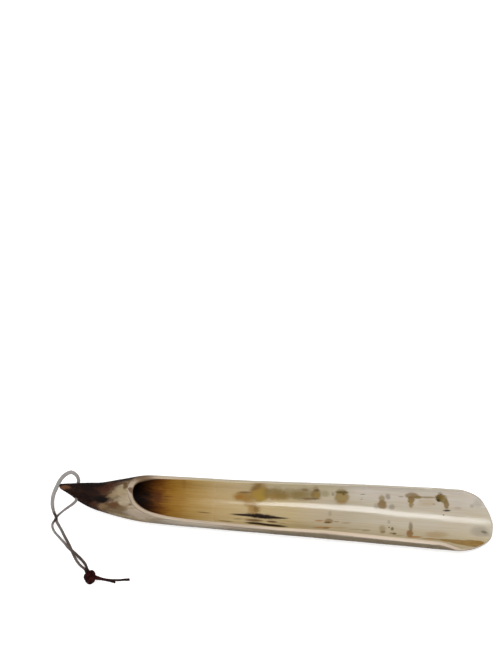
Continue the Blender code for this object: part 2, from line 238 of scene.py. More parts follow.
def brow(x, th):
    """The roof of the hollow thickens to a lip where the slanted cut breaks into it."""
    lip = 4.3 * np.exp(-(((x - 83) / 10) ** 2)) * np.clip(-np.cos(th) * 1.3 - 0.02, 0, 1)
    return lip + near_bead(x, th)


def outer_r(x, th):
    """Outer radius, with three slight waves of a hand-finished horn that fade out at the tip."""
    wave = (
        0.10 * np.sin(x / 19 + 1.3) * np.cos(2 * th + 0.5)
        + 0.06 * np.sin(x / 8.3 + 2 * th)
        + 0.05 * np.sin(x / 41) * np.sin(3 * th)
    )
    return horn_r(x) + rise(x, 6, over=30) * wave + far_shift(x, th) - near_lean(x, th)


def inner_r(x, th):
    """Radius of the hollow, with waves of its own."""
    wave = (
        0.09 * np.sin(x / 27 + 0.6) * np.cos(2 * th + 1.1)
        + 0.045 * np.sin(x / 9.7 + 2.2 * th)
        + 0.05 * np.sin(x / 15 + 1) * np.sin(th)
    )
    return horn_r(x) - wall(x) + wave - brow(x, th) + far_shift(x, th) - near_lean(x, th)


def round_section(y, z):
    """Distance round the blade's section from its lowest line."""
    return END_R * np.arctan2(y, END_R - z)


def smooth_max(a, b, blend):
    near = np.clip(blend - np.abs(a - b), 0, None) / blend
    return np.maximum(a, b) + near * near * blend * 0.25


def solid(points):
    """Below 0 inside the horn. The smooth maxima round its edges as filing and polishing do."""
    x, y, z = points[:, 0], points[:, 1], points[:, 2]
    dy, dz = y - horn_y(x), z - horn_z(x)
    rho, th = np.hypot(dy, dz), np.arctan2(dy, -dz)
    outer = rho - outer_r(x, th)
    r_in = np.maximum(inner_r(x, th), 0.5)
    ahead = np.clip((POCKET_X + DOME - x) / DOME, 0, None)
    hollow = (np.sqrt((rho / r_in) ** 2 + ahead**2) - 1) * r_in
    far, near = rise(y, 4, over=16), rise(-y, 4, over=16)
    # the two edges stand a little higher along the blade
    lift = 1.1 * np.maximum(far, near) * rise(x, 240, over=80) * fall(x, 446, over=40)
    cut = (z - saddle(x) - lift) / np.sqrt(1 + saddle.slope(x) ** 2)
    around = round_section(y, z)
    end = (x - blade_end(around)) / np.sqrt(1 + blade_end.slope(around) ** 2)
    end = np.where(x > END_START, end, -60.0)
    # the near rim is rounder than the far one, most of all towards the handle
    rim = 2.4 * rise(x, 95, over=60) * near * (1 - 0.7 * rise(x, 220, over=50))
    body = smooth_max(outer, TIP_X - x, blend=2.2)
    body = smooth_max(body, cut, blend=1.4 + rim)
    body = smooth_max(body, end, blend=1.3)
    return smooth_max(body, -hollow, blend=1.2 + 1.6 * fall(x, 106, over=16))


def project(points, rounds=7, probe=0.02, longest_step=1.0):
    """Moves points onto the surface of the solid."""
    points = points.copy()
    for _ in range(rounds):
        value = solid(points)
        slopes = [(solid(points + d) - solid(points - d)) / (2 * probe) for d in np.eye(3) * probe]
        gradient = np.stack(slopes, 1)
        square = np.maximum((gradient**2).sum(1), 0.05)
        step = -(value / square)[:, None] * gradient
        length = np.linalg.norm(step, axis=1, keepdims=True)
        points += step * np.minimum(1.0, longest_step / np.maximum(length, 1e-9))
    return points


# ------------------------------------------------------------------ the horn's mesh
def bisect(function, a, b):
    for _ in range(60):
        middle = (a + b) / 2
        if function(a) * function(middle) <= 0:
            b = middle
        else:
            a = middle
    return (a + b) / 2


# x where the slanted cut first meets the outer skin, and the hollow
OUTER_BREAK = bisect(lambda x: float(saddle(x) - horn_z(x) - horn_r(x)), 60.0, 90.0)
INNER_BREAK = bisect(lambda x: float(saddle(x) - horn_z(x) - (horn_r(x) - wall(x))), 70.0, 100.0)

# columns of the grid as shares of the opening angle, crowded at the two edges (-1 near, 1 far)
HALF_COLUMNS = [0, 0.0025, 0.006, 0.0105, 0.0165, 0.025, 0.037, 0.053, 0.075]
HALF_COLUMNS += list(np.linspace(0.105, 1.0, 22))
COLUMNS = np.array([-(1 - d) for d in HALF_COLUMNS] + [1 - d for d in reversed(HALF_COLUMNS[:-1])])
FROM_EDGE = np.minimum(1 - COLUMNS, 1 + COLUMNS)
SPANS = len(COLUMNS) - 1
# rows across the sawn face, from the outer skin (0) to the inner (1)
ROWS = np.array([0, 0.045, 0.11, 0.21, 0.36, 0.5, 0.64, 0.79, 0.89, 0.955, 1])

# station distances: from the tip, from the pocket's bottom, shares between the two breaks,
# past the inner break, and back from the blade's end
FROM_TIP = (
    0, 0.15, 0.4, 0.8, 1.4, 2.2, 3.3, 4.8, 6.6, 8.6, 10.8, 13.2, 15.6, 18, 20.5, 23, 25.5, 28,
    31, 34, 37, 40, 43, 46, 49, 52, 54.5,
)
FROM_POCKET = (0.06, 0.25, 0.6, 1.1, 1.9, 3, 4.4, 6.2, 8.4, 10.8, 13.2, 15.4)
BETWEEN_BREAKS = (0.006, 0.03, 0.075, 0.15, 0.25, 0.37, 0.5, 0.64, 0.78, 0.9, 0.97)
PAST_BREAK = (0.03, 0.12, 0.3, 0.6, 1, 1.6, 2.4, 3.4, 4.6, 6, 7.6, 9.4, 11.4)
EVEN_RUNS = ((146, 2.4), (300, 3.8), (LENGTH - 13.0, 3.0))  # up to this x, step
BEFORE_END = (9.5, 7, 5, 3.5, 2.3, 1.5, 0.95, 0.55, 0.28, 0.1, 0)


def horn_stations():
    """The stations along x, and the indices of the outer and the inner break."""
    stations = [TIP_X + d for d in FROM_TIP] + [POCKET_X + d for d in FROM_POCKET]
    stations = [x for x in stations if x < OUTER_BREAK - 0.4]
    outer_index = len(stations)
    stations.append(OUTER_BREAK)
    stations += [OUTER_BREAK + (INNER_BREAK - OUTER_BREAK) * share for share in BETWEEN_BREAKS]
    inner_index = len(stations)
    stations.append(INNER_BREAK)
    stations += [INNER_BREAK + d for d in PAST_BREAK]
    for limit, step in EVEN_RUNS:
        while stations[-1] < limit:
            stations.append(stations[-1] + step)
    stations += [LENGTH - d for d in BEFORE_END]
    return np.array(stations), outer_index, inner_index


def skin_arc(station, inner):
    """The points of the outer or inner skin at a station, one per column.

    The last part of the grid leans so that its last ring is the outline of the blade's end.
    """
    lean = smoothstep(rise(station, END_START, over=LENGTH - END_START))
    x = np.full_like(COLUMNS, station)
    for _ in range(6):
        r = horn_r(x) - (wall(x) if inner else 0.0)
        th = COLUMNS * np.arccos(np.clip((horn_z(x) - saddle(x)) / r, -1, 1))
        r = r + far_shift(x, th) - near_lean(x, th)
        if inner:
            ahead = rise(POCKET_X + DOME - x, 0, over=DOME)
            r = (r - near_bead(x, th)) * np.sqrt(np.clip(1 - ahead**2, 0.0, 1))
        y, z = horn_y(x) + r * np.sin(th), horn_z(x) - r * np.cos(th)
        x = station - lean * (LENGTH - blade_end(round_section(y, z)))
    return np.stack([x, y, z], 1)


def border_over_lip(station):
    """How far the sawn face's colour runs over the edge into the hollow, per column."""
    reach = 0.030 * fall(station, 104, over=10) * rise(station, INNER_BREAK - 2.2, over=1.2)
    return fall(FROM_EDGE, reach, over=0.006)


class HornGrid:
    """Points and faces of the horn. skin is 0 outside and 1 in the hollow; cut is 1 on sawn faces."""

    def __init__(self):
        self.points, self.skin, self.cut, self.faces = [], [], [], []
        self.stations, self.outer_break, self.inner_break = horn_stations()
        self.outer, self.inner = [], []
        self.far_face, self.near_face = [], []
        for k, station in enumerate(self.stations):
            self.lay_station(k, station)
        self.close_tip()
        self.close_pocket()
        for k in range(len(self.stations) - 1):
            self.join_stations(k)
        self.close_blade_end()

    def add(self, points, skin, cut):
        start, count = len(self.points), len(points)
        self.points.extend(points)
        self.skin.extend(np.broadcast_to(skin, count))
        self.cut.extend(np.broadcast_to(cut, count))
        return list(range(start, start + count))

    def add_ring(self, points, skin, cut, closed):
        if not closed:
            return self.add(points, skin, cut)
        ids = self.add(points[:-1], skin, np.broadcast_to(cut, len(points))[:-1])
        return ids + ids[:1]

    def face(self, *ids):
        """A quad, or a triangle where two of its corners are one point."""
        ids = list(dict.fromkeys(ids))
        if len(ids) >= 3:
            self.faces.append(ids)

    def lay_station(self, k, station):
        outer = skin_arc(station, inner=False)
        self.outer.append(self.add_ring(outer, 0.0, 0.0, closed=k <= self.outer_break))
        if station > POCKET_X + 0.01:
            inner = skin_arc(station, inner=True)
            border = border_over_lip(station)
            self.inner.append(self.add_ring(inner, 1.0, border, closed=k <= self.inner_break))
        else:
            self.inner.append(None)
        if k <= self.outer_break:
            self.far_face.append(None)
            self.near_face.append(None)
            return
        # the sawn face; before the inner break its two halves meet in one middle point
        middle_id = None
        for column, face in ((-1, self.far_face), (0, self.near_face)):
            start = outer[column]
            if k <= self.inner_break:
                end = np.array([station, float(horn_y(station)), float(saddle(station))])
            else:
                end = inner[column]
            between = [start + (end - start) * share for share in ROWS[1:-1]]
            ids = self.add(between, ROWS[1:-1], 1.0)
            if k < self.inner_break:
                if middle_id is None:
                    middle_id = self.add([end], 1.0, 1.0)[0]
                last = middle_id
            else:
                last = self.inner[k][column]
            face.append([self.outer[k][column]] + ids + [last])

    def close_tip(self):
        previous = self.outer[0]
        base = np.array([self.points[i] for i in previous[:-1]])
        centre = np.array([TIP_X, float(horn_y(TIP_X)), float(horn_z(TIP_X))])
        for share in (0.75, 0.45, 0.2):
            ids = self.add(list(centre + (base - centre) * share), 0.0, 0.0)
            ids = ids + ids[:1]
            for j in range(SPANS):
                self.face(previous[j], ids[j], ids[j + 1], previous[j + 1])
            previous = ids
        middle = self.add([centre], 0.0, 0.0)[0]
        for j in range(SPANS):
            self.face(previous[j], middle, previous[j + 1])

    def close_pocket(self):
        ring = next(ids for ids in self.inner if ids is not None)
        centre = np.array([POCKET_X, float(horn_y(POCKET_X)), float(horn_z(POCKET_X))])
        middle = self.add([centre], 1.0, 0.0)[0]
        for j in range(SPANS):
            self.face(ring[j], ring[j + 1], middle)

    def join_stations(self, k):
        outer, outer_after = self.outer[k], self.outer[k + 1]
        inner, inner_after = self.inner[k], self.inner[k + 1]
        for j in range(SPANS):
            self.face(outer[j], outer[j + 1], outer_after[j + 1], outer_after[j])
            if inner is not None:
                self.face(inner[j + 1], inner[j], inner_after[j], inner_after[j + 1])
        if k < self.outer_break:
            return
        # the sawn face starts from one point at the outer break
        apex = [outer[0]] * len(ROWS)
        far, near = self.far_face[k] or apex, self.near_face[k] or apex
        far_after, near_after = self.far_face[k + 1], self.near_face[k + 1]
        for i in range(len(ROWS) - 1):
            self.face(far[i], far[i + 1], far_after[i + 1], far_after[i])
            self.face(near[i + 1], near[i], near_after[i], near_after[i + 1])

    def close_blade_end(self):
        grid = [self.near_face[-1]]
        for j in range(1, SPANS):
            first, last = self.outer[-1][j], self.inner[-1][j]
            a, b = self.points[first], self.points[last]
            ids = self.add([a + (b - a) * share for share in ROWS[1:-1]], ROWS[1:-1], 1.0)
            grid.append([first] + ids + [last])
        grid.append(self.far_face[-1])
        for row, after in zip(grid, grid[1:]):
            for i in range(len(ROWS) - 1):
                self.face(row[i], after[i], after[i + 1], row[i + 1])


def build_horn():
    grid = HornGrid()
    points = project(np.array(grid.points))
    mesh = bpy.data.meshes.new("horn")
    mesh.from_pydata([world(p) for p in points], [], grid.faces)
    write_attribute(mesh, "skin", grid.skin)
    write_attribute(mesh, "cut_face", grid.cut)
    mesh.validate()
    bm = bmesh.new()
    bm.from_mesh(mesh)
    bmesh.ops.recalc_face_normals(bm, faces=bm.faces)
    # relax the rows where the slanted cut breaks into the hollow
    bm.verts.ensure_lookup_table()
    mouth = [
        bm.verts[i] for i, p in enumerate(points)
        if 66 < p[0] < 106 and grid.skin[i] > 0.3 and p[2] > float(saddle(p[0])) - 7.5
    ]
    for _ in range(9):
        bmesh.ops.smooth_vert(
            bm, verts=mouth, factor=0.5, use_axis_x=True, use_axis_y=True, use_axis_z=True
        )
    bm.to_mesh(mesh)
    bm.free()
    return link_mesh("horn", mesh)


# y, radius of the cross hole, wider at its worn mouths
HOLE_PROFILE = ((-9.5, 3.1), (-6.6, 2.5), (-5.4, 2.15), (8.8, 2.15), (10.2, 2.6), (12.4, 3.2))
HOLE_SIDES = 48


def drill_hole(horn):
    bm = bmesh.new()
    rings = []
    for y, radius in HOLE_PROFILE:
        ring = []
        for k in range(HOLE_SIDES):
            angle = 2 * math.pi * k / HOLE_SIDES
            x, z = HOLE[0] + radius * math.cos(angle), HOLE[2] + radius * math.sin(angle)
            ring.append(bm.verts.new(world((x, y, z))))
        rings.append(ring)
    capped_tube(bm, rings)
    drill = finish_mesh("drill", bm)
    cutter = horn.modifiers.new("hole", "BOOLEAN")
    cutter.operation, cutter.solver, cutter.object = "DIFFERENCE", "EXACT", drill
    apply_modifiers(horn)
    bpy.data.objects.remove(drill, do_unlink=True)


horn = build_horn()
drill_hole(horn)
shade(horn, sharp_degrees=38)


# ------------------------------------------------------------------ the laces
# centre lines, from inside the hole to the knot
STRAND_A = (
    (20, 1.5, 26), (20, 6.5, 26), (20.1, 11.2, 26.1), (20.6, 15, 26.5), (19.2, 18.9, 26.8),
    (16.1, 22.1, 26.8), (11.7, 24.1, 26), (7, 23.2, 23.5), (3, 20.7, 20), (0, 17.4, 16),
    (-1.8, 14.1, 12.5), (-3.5, 10.8, 9.5), (-5, 7, 6.7), (-5.8, 2.3, 4.2), (-5.7, -2.2, 2.6),
    (-4.5, -8.2, 1.8), (-2.6, -13, 1.5), (-0.2, -17.7, 1.5), (1.3, -22.2, 1.5), (3.9, -27.7, 1.5),
    (7.4, -33.4, 1.5), (10.9, -39.1, 1.5), (15.1, -45.9, 1.5), (18.7, -52.1, 1.5),
    (20.8, -57.2, 1.5), (22.8, -63, 1.5), (26, -68.4, 1.5), (29.9, -73.1, 2), (34, -77.8, 3.2),
    (36.7, -82.4, 4.7), (39.4, -87.2, 5.2),
)
STRAND_B = (
    (20, 1.5, 26), (20, -4, 26), (19.9, -8.4, 25.7), (17.8, -10.6, 23.4), (13.4, -11.9, 18),
    (8, -13.8, 12.4), (3.5, -16.1, 8), (-0.1, -19, 4.9), (-2.3, -22.4, 3), (-3.7, -25.6, 1.7),
    (-3.6, -29.6, 1.5), (-1, -35.1, 1.5), (5.1, -42.4, 1.5), (10.4, -47.9, 1.5),
    (14.8, -52.6, 2.2), (17.8, -55.8, 3.8), (21, -58.9, 4.9), (23.9, -60.9, 4), (26.8, -62.9, 2.4),
    (30.5, -66.4, 1.5), (34.1, -71.3, 2.2), (37.2, -77, 3.6), (39.6, -81.5, 5.8),
    (41.8, -86.6, 6.4),
)
# small moves along x: number of the point, move
MOVES_A = (
    (0, 0), (2, 0), (3, -0.2), (4, -0.4), (5, -0.2), (7, 0), (9, -0.3), (14, -0.4), (17, -0.4),
    (18, -1.1), (19, -0.5), (20, -0.5), (21, -0.9), (22, -1.1), (23, -1.3), (24, -0.9), (25, 0.1),
    (27, 0.3), (28, 1.2), (29, 0.6), (30, 0),
)
MOVES_B = (
    (0, 0), (7, 0), (8, 0.4), (9, 0), (11, 0.2), (12, 0.9), (13, 0.9), (14, 0.3), (15, 0.3),
    (16, 0.3), (18, 0.3), (19, 0.8), (20, 0.9), (21, 0.1), (23, 0),
)
# centre lines of the two tails, from the knot
TAIL_LONG = (
    (41.2, -88.3, 6.4), (47.5, -87.7, 6.1), (51.8, -88, 5.3), (56, -88.4, 4.9), (62.4, -88.8, 4.7),
    (67.6, -88.4, 4.4), (71.6, -87.3, 2.9), (76.9, -85.7, 1.6), (82.6, -84.9, 1.5),
)
TAIL_SHORT = (
    (41.1, -87, 4), (47.5, -87.2, 2.4), (51.7, -87.2, 1.6), (56, -87.5, 1.5), (61.3, -88.3, 1.5),
    (67.9, -89.5, 1.5),
)
TAIL_AGE = ((0, 1), (8, 0.98), (20, 0.86), (50, 0.86))
VIEW_DIR = Vector((0.0393, -0.4674, 0.8831))  # from the object to the viewer
STEP = 0.45  # spacing of sections along a lace
LACE_SIDES = 20
# cap rings: share of the section's size, distance outwards
CAP_FLAT = ((0.5, 0.0),)
CAP_DOMED = ((0.86, 0.25), (0.55, 0.42), (0.2, 0.46))


def eased(points, moves):
    shift = Smooth(moves)
    return [(p[0] + float(shift(i)), p[1], p[2]) for i, p in enumerate(points)]


def catmull(points):
    """Centripetal Catmull-Rom curve through points, in steps of about STEP."""
    pts = [Vector(p) for p in points]
    pts = [2 * pts[0] - pts[1]] + pts + [2 * pts[-1] - pts[-2]]
    out = [pts[1].copy()]
    for i in range(1, len(pts) - 2):
        p0, p1, p2, p3 = pts[i - 1 : i + 3]
        t0, t1 = 0.0, (p1 - p0).length ** 0.5
        t2 = t1 + (p2 - p1).length ** 0.5
        t3 = t2 + (p3 - p2).length ** 0.5
        count = max(1, round((p2 - p1).length / STEP))
        for k in range(1, count + 1):
            t = t1 + (t2 - t1) * k / count
            a1 = (t1 - t) / (t1 - t0) * p0 + (t - t0) / (t1 - t0) * p1
            a2 = (t2 - t) / (t2 - t1) * p1 + (t - t1) / (t2 - t1) * p2
            a3 = (t3 - t) / (t3 - t2) * p2 + (t - t2) / (t3 - t2) * p3
            b1 = (t2 - t) / (t2 - t0) * a1 + (t - t0) / (t2 - t0) * a2
            b2 = (t3 - t) / (t3 - t1) * a2 + (t - t1) / (t3 - t1) * a3
            out.append((t2 - t) / (t2 - t1) * b1 + (t - t1) / (t2 - t1) * b2)
    return out


def tangents(line):
    last = len(line) - 1
    ends = [(line[max(i - 1, 0)], line[min(i + 1, last)]) for i in range(len(line))]
    return [(after - before).normalized() for before, after in ends]


class Lace:
    """A flat-oval lace laid along a line.

    The tables give, against distance along it, the turn of its wide side in degrees (0 faces the
    viewer, 90 on edge), the half width, the half thickness and the age of the leather, which
    also carries painted shade where the strands cross.
    """

    def __init__(self, line, roll, wide, thick, age_and_shade, seed):
        self.line = line
        self.s = [0.0]
        for a, b in zip(line, line[1:]):
            self.s.append(self.s[-1] + (b - a).length)
        self.roll, self.wide, self.thick, self.age_and_shade = (Smooth(t) for t in (roll, wide, thick, age_and_shade))
        self.seed = seed
        self.tangents = tangents(line)

    def near(self, joint):
        """Index of the point nearest a joint, with height counting less."""
        place = local(JOINT[joint])

        def distance(i):
            gap = self.line[i] - place
            return Vector((gap.x, gap.y, 0.35 * gap.z)).length

        return min(range(len(self.line)), key=distance)

    def ring(self, i):
        """Points of the section at index i, each with its nearness to a cut border."""
        s = self.s[i]
        tangent = self.tangents[i]
        side = tangent.cross(VIEW_DIR).normalized()
        top = tangent.cross(side)
        turn = math.radians(float(self.roll(s)))
        cos_turn, sin_turn = math.cos(turn), math.sin(turn)
        wide, thick = float(self.wide(s)), float(self.thick(s))
        out = []
        for k in range(LACE_SIDES):
            a = 2 * math.pi * k / LACE_SIDES
            # rounded-square section of a lace cut from a hide, a little uneven
            ca, sa = math.cos(a), math.sin(a)
            square = (abs(ca) ** 2.6 + abs(sa) ** 2.6) ** (-1 / 2.6)
            uneven = (
                1
                + 0.022 * math.sin(s * 1.9 + 3 * a + self.seed)
                + 0.02 * math.sin(s * 0.73 - 2 * a + 2 * self.seed)
                + 0.014 * math.sin(s * 4.3 + 5 * a)
            )
            x, y = wide * ca * square * uneven, thick * sa * square * uneven
            across = side * (x * cos_turn - y * sin_turn)
            out.append((self.line[i] + across + top * (x * sin_turn + y * cos_turn), ca * ca))
        return out


def turned(ring, shift):
    return [ring[(k + shift) % LACE_SIDES] for k in range(LACE_SIDES)]


def ring_sections(runs):
    """Ring, age, distance, centre and direction of each section, every ring following the last."""
    sections = []
    for lace, first, last in runs:
        step = 1 if last >= first else -1
        for i in range(first, last + step, step):
            ring = lace.ring(i)
            if step < 0:
                ring = [ring[(LACE_SIDES // 2 - k) % LACE_SIDES] for k in range(LACE_SIDES)]
            if sections:
                previous = sections[-1][0]

                def mismatch(shift):
                    places = range(0, LACE_SIDES, 4)
                    gaps = [ring[(k + shift) % LACE_SIDES][0] - previous[k][0] for k in places]
                    return sum(gap.length_squared for gap in gaps)

                ring = turned(ring, min(range(LACE_SIDES), key=mismatch))
            age_and_shade, distance = float(lace.age_and_shade(lace.s[i])), lace.s[i] + 50 * lace.seed
            sections.append((ring, age_and_shade, distance, lace.line[i], lace.tangents[i] * step))
    return sections


def lace_piece(name, runs, round_end=False):
    """One closed piece from consecutive runs of laces; each run is (lace, first index, last)."""
    sections = ring_sections(runs)
    bm = bmesh.new()
    layers = [bm.verts.layers.float.new(label) for label in ("age_and_shade", "along", "border")]

    def add_vert(place, values):
        vert = bm.verts.new(place)
        for layer, value in zip(layers, values):
            vert[layer] = value
        return vert

    rows = []
    for ring, age_and_shade, distance, _, _ in sections:
        rows.append([add_vert(world(p), (age_and_shade, distance, border)) for p, border in ring])
    for row, after in zip(rows, rows[1:]):
        bridge(bm, row, after)
    for end, sign, cap in ((0, -1, CAP_FLAT), (-1, 1, CAP_DOMED if round_end else CAP_FLAT)):
        _, age_and_shade, distance, centre, direction = sections[end]
        centre, outward = world(centre), direction * sign
        previous = rows[end]
        for share, push in cap:
            inner = []
            for vert in rows[end]:
                place = centre + (vert.co - centre) * share + outward * push * MM
                inner.append(add_vert(place, [vert[layer] for layer in layers]))
            bridge(bm, previous, inner)
            previous = inner
        tip = add_vert(centre + outward * push * MM, (age_and_shade, distance, 0.5))
        for k in range(LACE_SIDES):
            bm.faces.new((previous[k], previous[(k + 1) % LACE_SIDES], tip))
    piece = finish_mesh(name, bm)
    shade(piece, sharp_degrees=55)
    return piece


lace_a = Lace(
    catmull(eased(STRAND_A, MOVES_A)),
    roll=((0, 0), (20, 0), (45, 0), (75, 8), (92, 40), (104, 20), (115, 8), (135, 10), (150, 40),
          (175, 60)),
    wide=((0, 1.5), (12, 1.72), (26, 2), (50, 2.1), (62, 2.02), (72, 1.82), (80, 1.5), (90, 1.5),
          (104, 1.45), (128, 1.56), (140, 1.46), (150, 1.42), (162, 1.4), (175, 1.3)),
    thick=((0, 1.3), (12, 1.25), (60, 1.15), (80, 1.15), (130, 1.05), (150, 1.1), (175, 1.15)),
    # the age rises where the strands cross; that rise is painted shade
    age_and_shade=((0, 0.2), (8, 0.3), (14, 0.18), (30, 0.06), (55, 0.02), (66, 0.1), (75, 0.18), (79, 0.3),
         (82.5, 0.68), (88, 0.66), (92, 0.28), (105, 0.34), (118, 0.5), (132, 0.54), (142, 0.42),
         (152, 0.48), (162, 0.85), (180, 1)),
    seed=0,
)
lace_b = Lace(
    catmull(eased(STRAND_B, MOVES_B)),
    roll=((0, 0), (18, 0), (40, 10), (60, 30), (85, 0), (105, 10), (120, 50), (150, 70)),
    wide=((0, 1.6), (12, 1.5), (24, 1.35), (35, 1.12), (45, 1.18), (60, 1.22), (72, 1.3),
          (86, 1.56), (100, 1.56), (118, 1.5), (150, 1.35)),
    thick=((0, 1.3), (35, 1.15), (60, 1.1), (90, 1.05), (110, 1.05), (150, 1.15)),
    # the age rises where the strands cross; that rise is painted shade
    age_and_shade=((0, 0.26), (20, 0.22), (32, 0.26), (38, 0.45), (42, 0.7), (46, 0.6), (51, 0.18),
         (68, 0.24), (84, 0.42), (98, 0.62), (108, 0.56), (120, 0.74), (126, 1), (160, 1)),
    seed=1,
)
lace_long = Lace(
    catmull(TAIL_LONG),
    roll=((0, 60), (14, 40), (45, 20)),
    wide=((0, 2.6), (5, 2.6), (8, 2.2), (12, 1.4), (16, 1.15), (34, 1.25), (41, 1.45), (46, 1.55)),
    thick=((0, 1.9), (5, 1.7), (9, 1.25), (14, 0.95), (46, 0.95)),
    age_and_shade=TAIL_AGE,
    seed=2,
)
lace_short = Lace(
    catmull(TAIL_SHORT),
    roll=((0, 80), (30, 40)),
    wide=((0, 2), (6, 1.6), (12, 1), (20, 0.95), (28, 1.2)),
    thick=((0, 1.6), (6, 1.3), (12, 0.95), (28, 0.9)),
    age_and_shade=TAIL_AGE,
    seed=3,
)

# the joints at the bends
BENDS = ("crossing_bend", "span_bend", "second_crossing_bend", "lower_span_bend", "knot_bend")
BIGHT_REACH = 9.0  # the bight ends this far before the first bend
BEND_REACH = 5.0  # reach both ways of each bend, for a span that build_strand works out but does not use
KNOT_BEND_REACH = (2.6, 2.2)  # the last one: before it, after it
# the strands cross after the second piece, so they change sides in the CAD
CAD_SIDES = {"a": ("right", "right", "left", "left"), "b": ("left", "left", "right", "right")}


def steps(length):
    return round(length / STEP)


def blend_piece(piece):
    """Bakes the piece's placement into its mesh."""
    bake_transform(piece)


def build_strand(lace, label, bends, start):
    """Five pieces, cut halfway between the bends."""
    end = len(lace.line) - 1
    cuts = [start] + [(a + b) // 2 for a, b in zip(bends, bends[1:])] + [end]
    pieces = []
    for i, bend in enumerate(bends):
        piece = lace_piece(f"lace_{label}_{i + 1}", [(lace, cuts[i], cuts[i + 1])])
        if i < 4:
            reach = min(bend, steps(BEND_REACH))
            first, last = max(bend - reach, cuts[i] + 2), min(bend + reach, cuts[i + 1] - 2)
        else:
            before, after = KNOT_BEND_REACH
            first, last = bend - steps(before), min(bend + steps(after), end - 1)
        blend_piece(piece)
        if i < 4:
            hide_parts(f"thong_{CAD_SIDES[label][i]}_{i + 1}")
        pieces.append(piece)
    return pieces


def build_tail(name, run, bend, cad, round_end):
    """A piece of a tail; the bend argument is not used."""
    piece = lace_piece(name, [run], round_end)
    blend_piece(piece)
    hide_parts(cad)
    return piece


def build_laces():
    bends_a, bends_b = ([lace.near(name) for name in BENDS] for lace in (lace_a, lace_b))
    start_a, start_b = (bends[0] - steps(BIGHT_REACH) for bends in (bends_a, bends_b))
    bight = lace_piece("lace_bight", [(lace_a, start_a, 0), (lace_b, 1, start_b)])
    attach(bight, "thong_loop")
    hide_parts("thong_bight")
    pieces = [bight]
    pieces += build_strand(lace_a, "a", bends_a, start_a)
    pieces += build_strand(lace_b, "b", bends_b, start_b)

    bend, end_bend = lace_long.near("long_tail_bend"), lace_long.near("long_tail_end_bend")
    middle = (bend + end_bend) // 2
    pieces.append(build_tail(
        "lace_long_tail_1", (lace_long, 0, middle),
        bend=bend, cad="thong_long_tail_1", round_end=False,
    ))
    pieces.append(build_tail(
        "lace_long_tail_2", (lace_long, middle, len(lace_long.line) - 1),
        bend=end_bend, cad="thong_long_tail_2", round_end=True,
    ))
    pieces.append(build_tail(
        "lace_short_tail", (lace_short, 0, len(lace_short.line) - 1),
        bend=lace_short.near("short_tail_bend"), cad="thong_short_tail",
        round_end=True,
    ))
    return pieces


laces = build_laces()


# ------------------------------------------------------------------ the knot
KNOT = Vector((41.2, -88.2, 5.6))
KNOT_SHIFT = Vector((0.8, -0.5, 0.0))
KNOT_YAW, KNOT_TILT = 24.0, 8.0  # degrees
STRAND_OFFSET = 1.18  # each strand from their common line
STRAND_R, STRAND_FLATNESS, STRAND_SIDES = 1.55, 0.92, 16


def knot_line():
    """Centre line of an overhand knot, entered from the strands and left towards the tails."""
    # x runs from the strands' side to the tails' side before the turn
    yaw = Matrix.Rotation(math.radians(KNOT_YAW), 3, "Z")
    tilt = Matrix.Rotation(math.radians(KNOT_TILT), 3, "X")
    line = []
    for k in range(121):
        t = -1.97 + 3.94 * k / 120
        x, y, z = t**3 - 3 * t, t**4 - 4 * t * t, t**5 - 10 * t
        point = Vector((x * 1.86, -(y + 1.75) * 2.08, z * 0.30))
        line.append(KNOT + KNOT_SHIFT + yaw @ (tilt @ point))
    return line


def carried_sides(directions):
    """A side vector carried along a line without twist."""
    side = directions[0].cross(Vector((0, 0, 1))).normalized()
    out = []
    for direction in directions:
        side = (side - direction * side.dot(direction)).normalized()
        out.append(side)
    return out


def add_knot_strand(bm, line):
    directions = tangents(line)
    rings = []
    for i, (p, along, side) in enumerate(zip(line, directions, carried_sides(directions))):
        top = along.cross(side)
        r = STRAND_R + 0.05 * math.sin(i * 0.5)
        ring = []
        for k in range(STRAND_SIDES):
            a = 2 * math.pi * k / STRAND_SIDES
            place = p + side * r * math.cos(a) + top * STRAND_FLATNESS * r * math.sin(a)
            ring.append(bm.verts.new(world(place)))
        rings.append(ring)
    capped_tube(bm, rings)


def build_knot():
    """Both strands side by side in one overhand knot."""
    line = knot_line()
    sides = carried_sides(tangents(line))
    bm = bmesh.new()
    for offset in (STRAND_OFFSET, -STRAND_OFFSET):
        add_knot_strand(bm, [p + side * offset for p, side in zip(line, sides)])
    # a core fills the small hollows between the turns
    core = bmesh.ops.create_uvsphere(bm, u_segments=24, v_segments=14, radius=1.0)
    for vert in core["verts"]:
        x, y, z = vert.co
        place = (KNOT.x + 0.2 + x * (5.6 + 0.5 * y), KNOT.y - 0.9 + y * 7.0, KNOT.z + z * 4.5)
        vert.co = world(place)
    obj = finish_mesh("lace_knot", bm)
    remesh = obj.modifiers.new("skin", "REMESH")
    remesh.mode, remesh.voxel_size, remesh.adaptivity = "VOXEL", 0.00024, 0.0
    soft = obj.modifiers.new("soft", "SMOOTH")
    soft.factor, soft.iterations = 0.5, 4
    apply_modifiers(obj)
    # keep it just above the surface
    lift = max(0.0, 0.0002 - min(v.co.z for v in obj.data.vertices))
    for vert in obj.data.vertices:
        vert.co.z += lift
    for name, value in (("age_and_shade", 1.0), ("along", 0.0), ("border", 0.3)):
        write_attribute(obj.data, name, np.full(len(obj.data.vertices), value))
    obj.data.shade_smooth()
    return obj


knot = build_knot()
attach(knot, "thong_knot")
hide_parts("thong_knot")
laces.append(knot)

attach(horn, "horn")
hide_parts("horn_body")


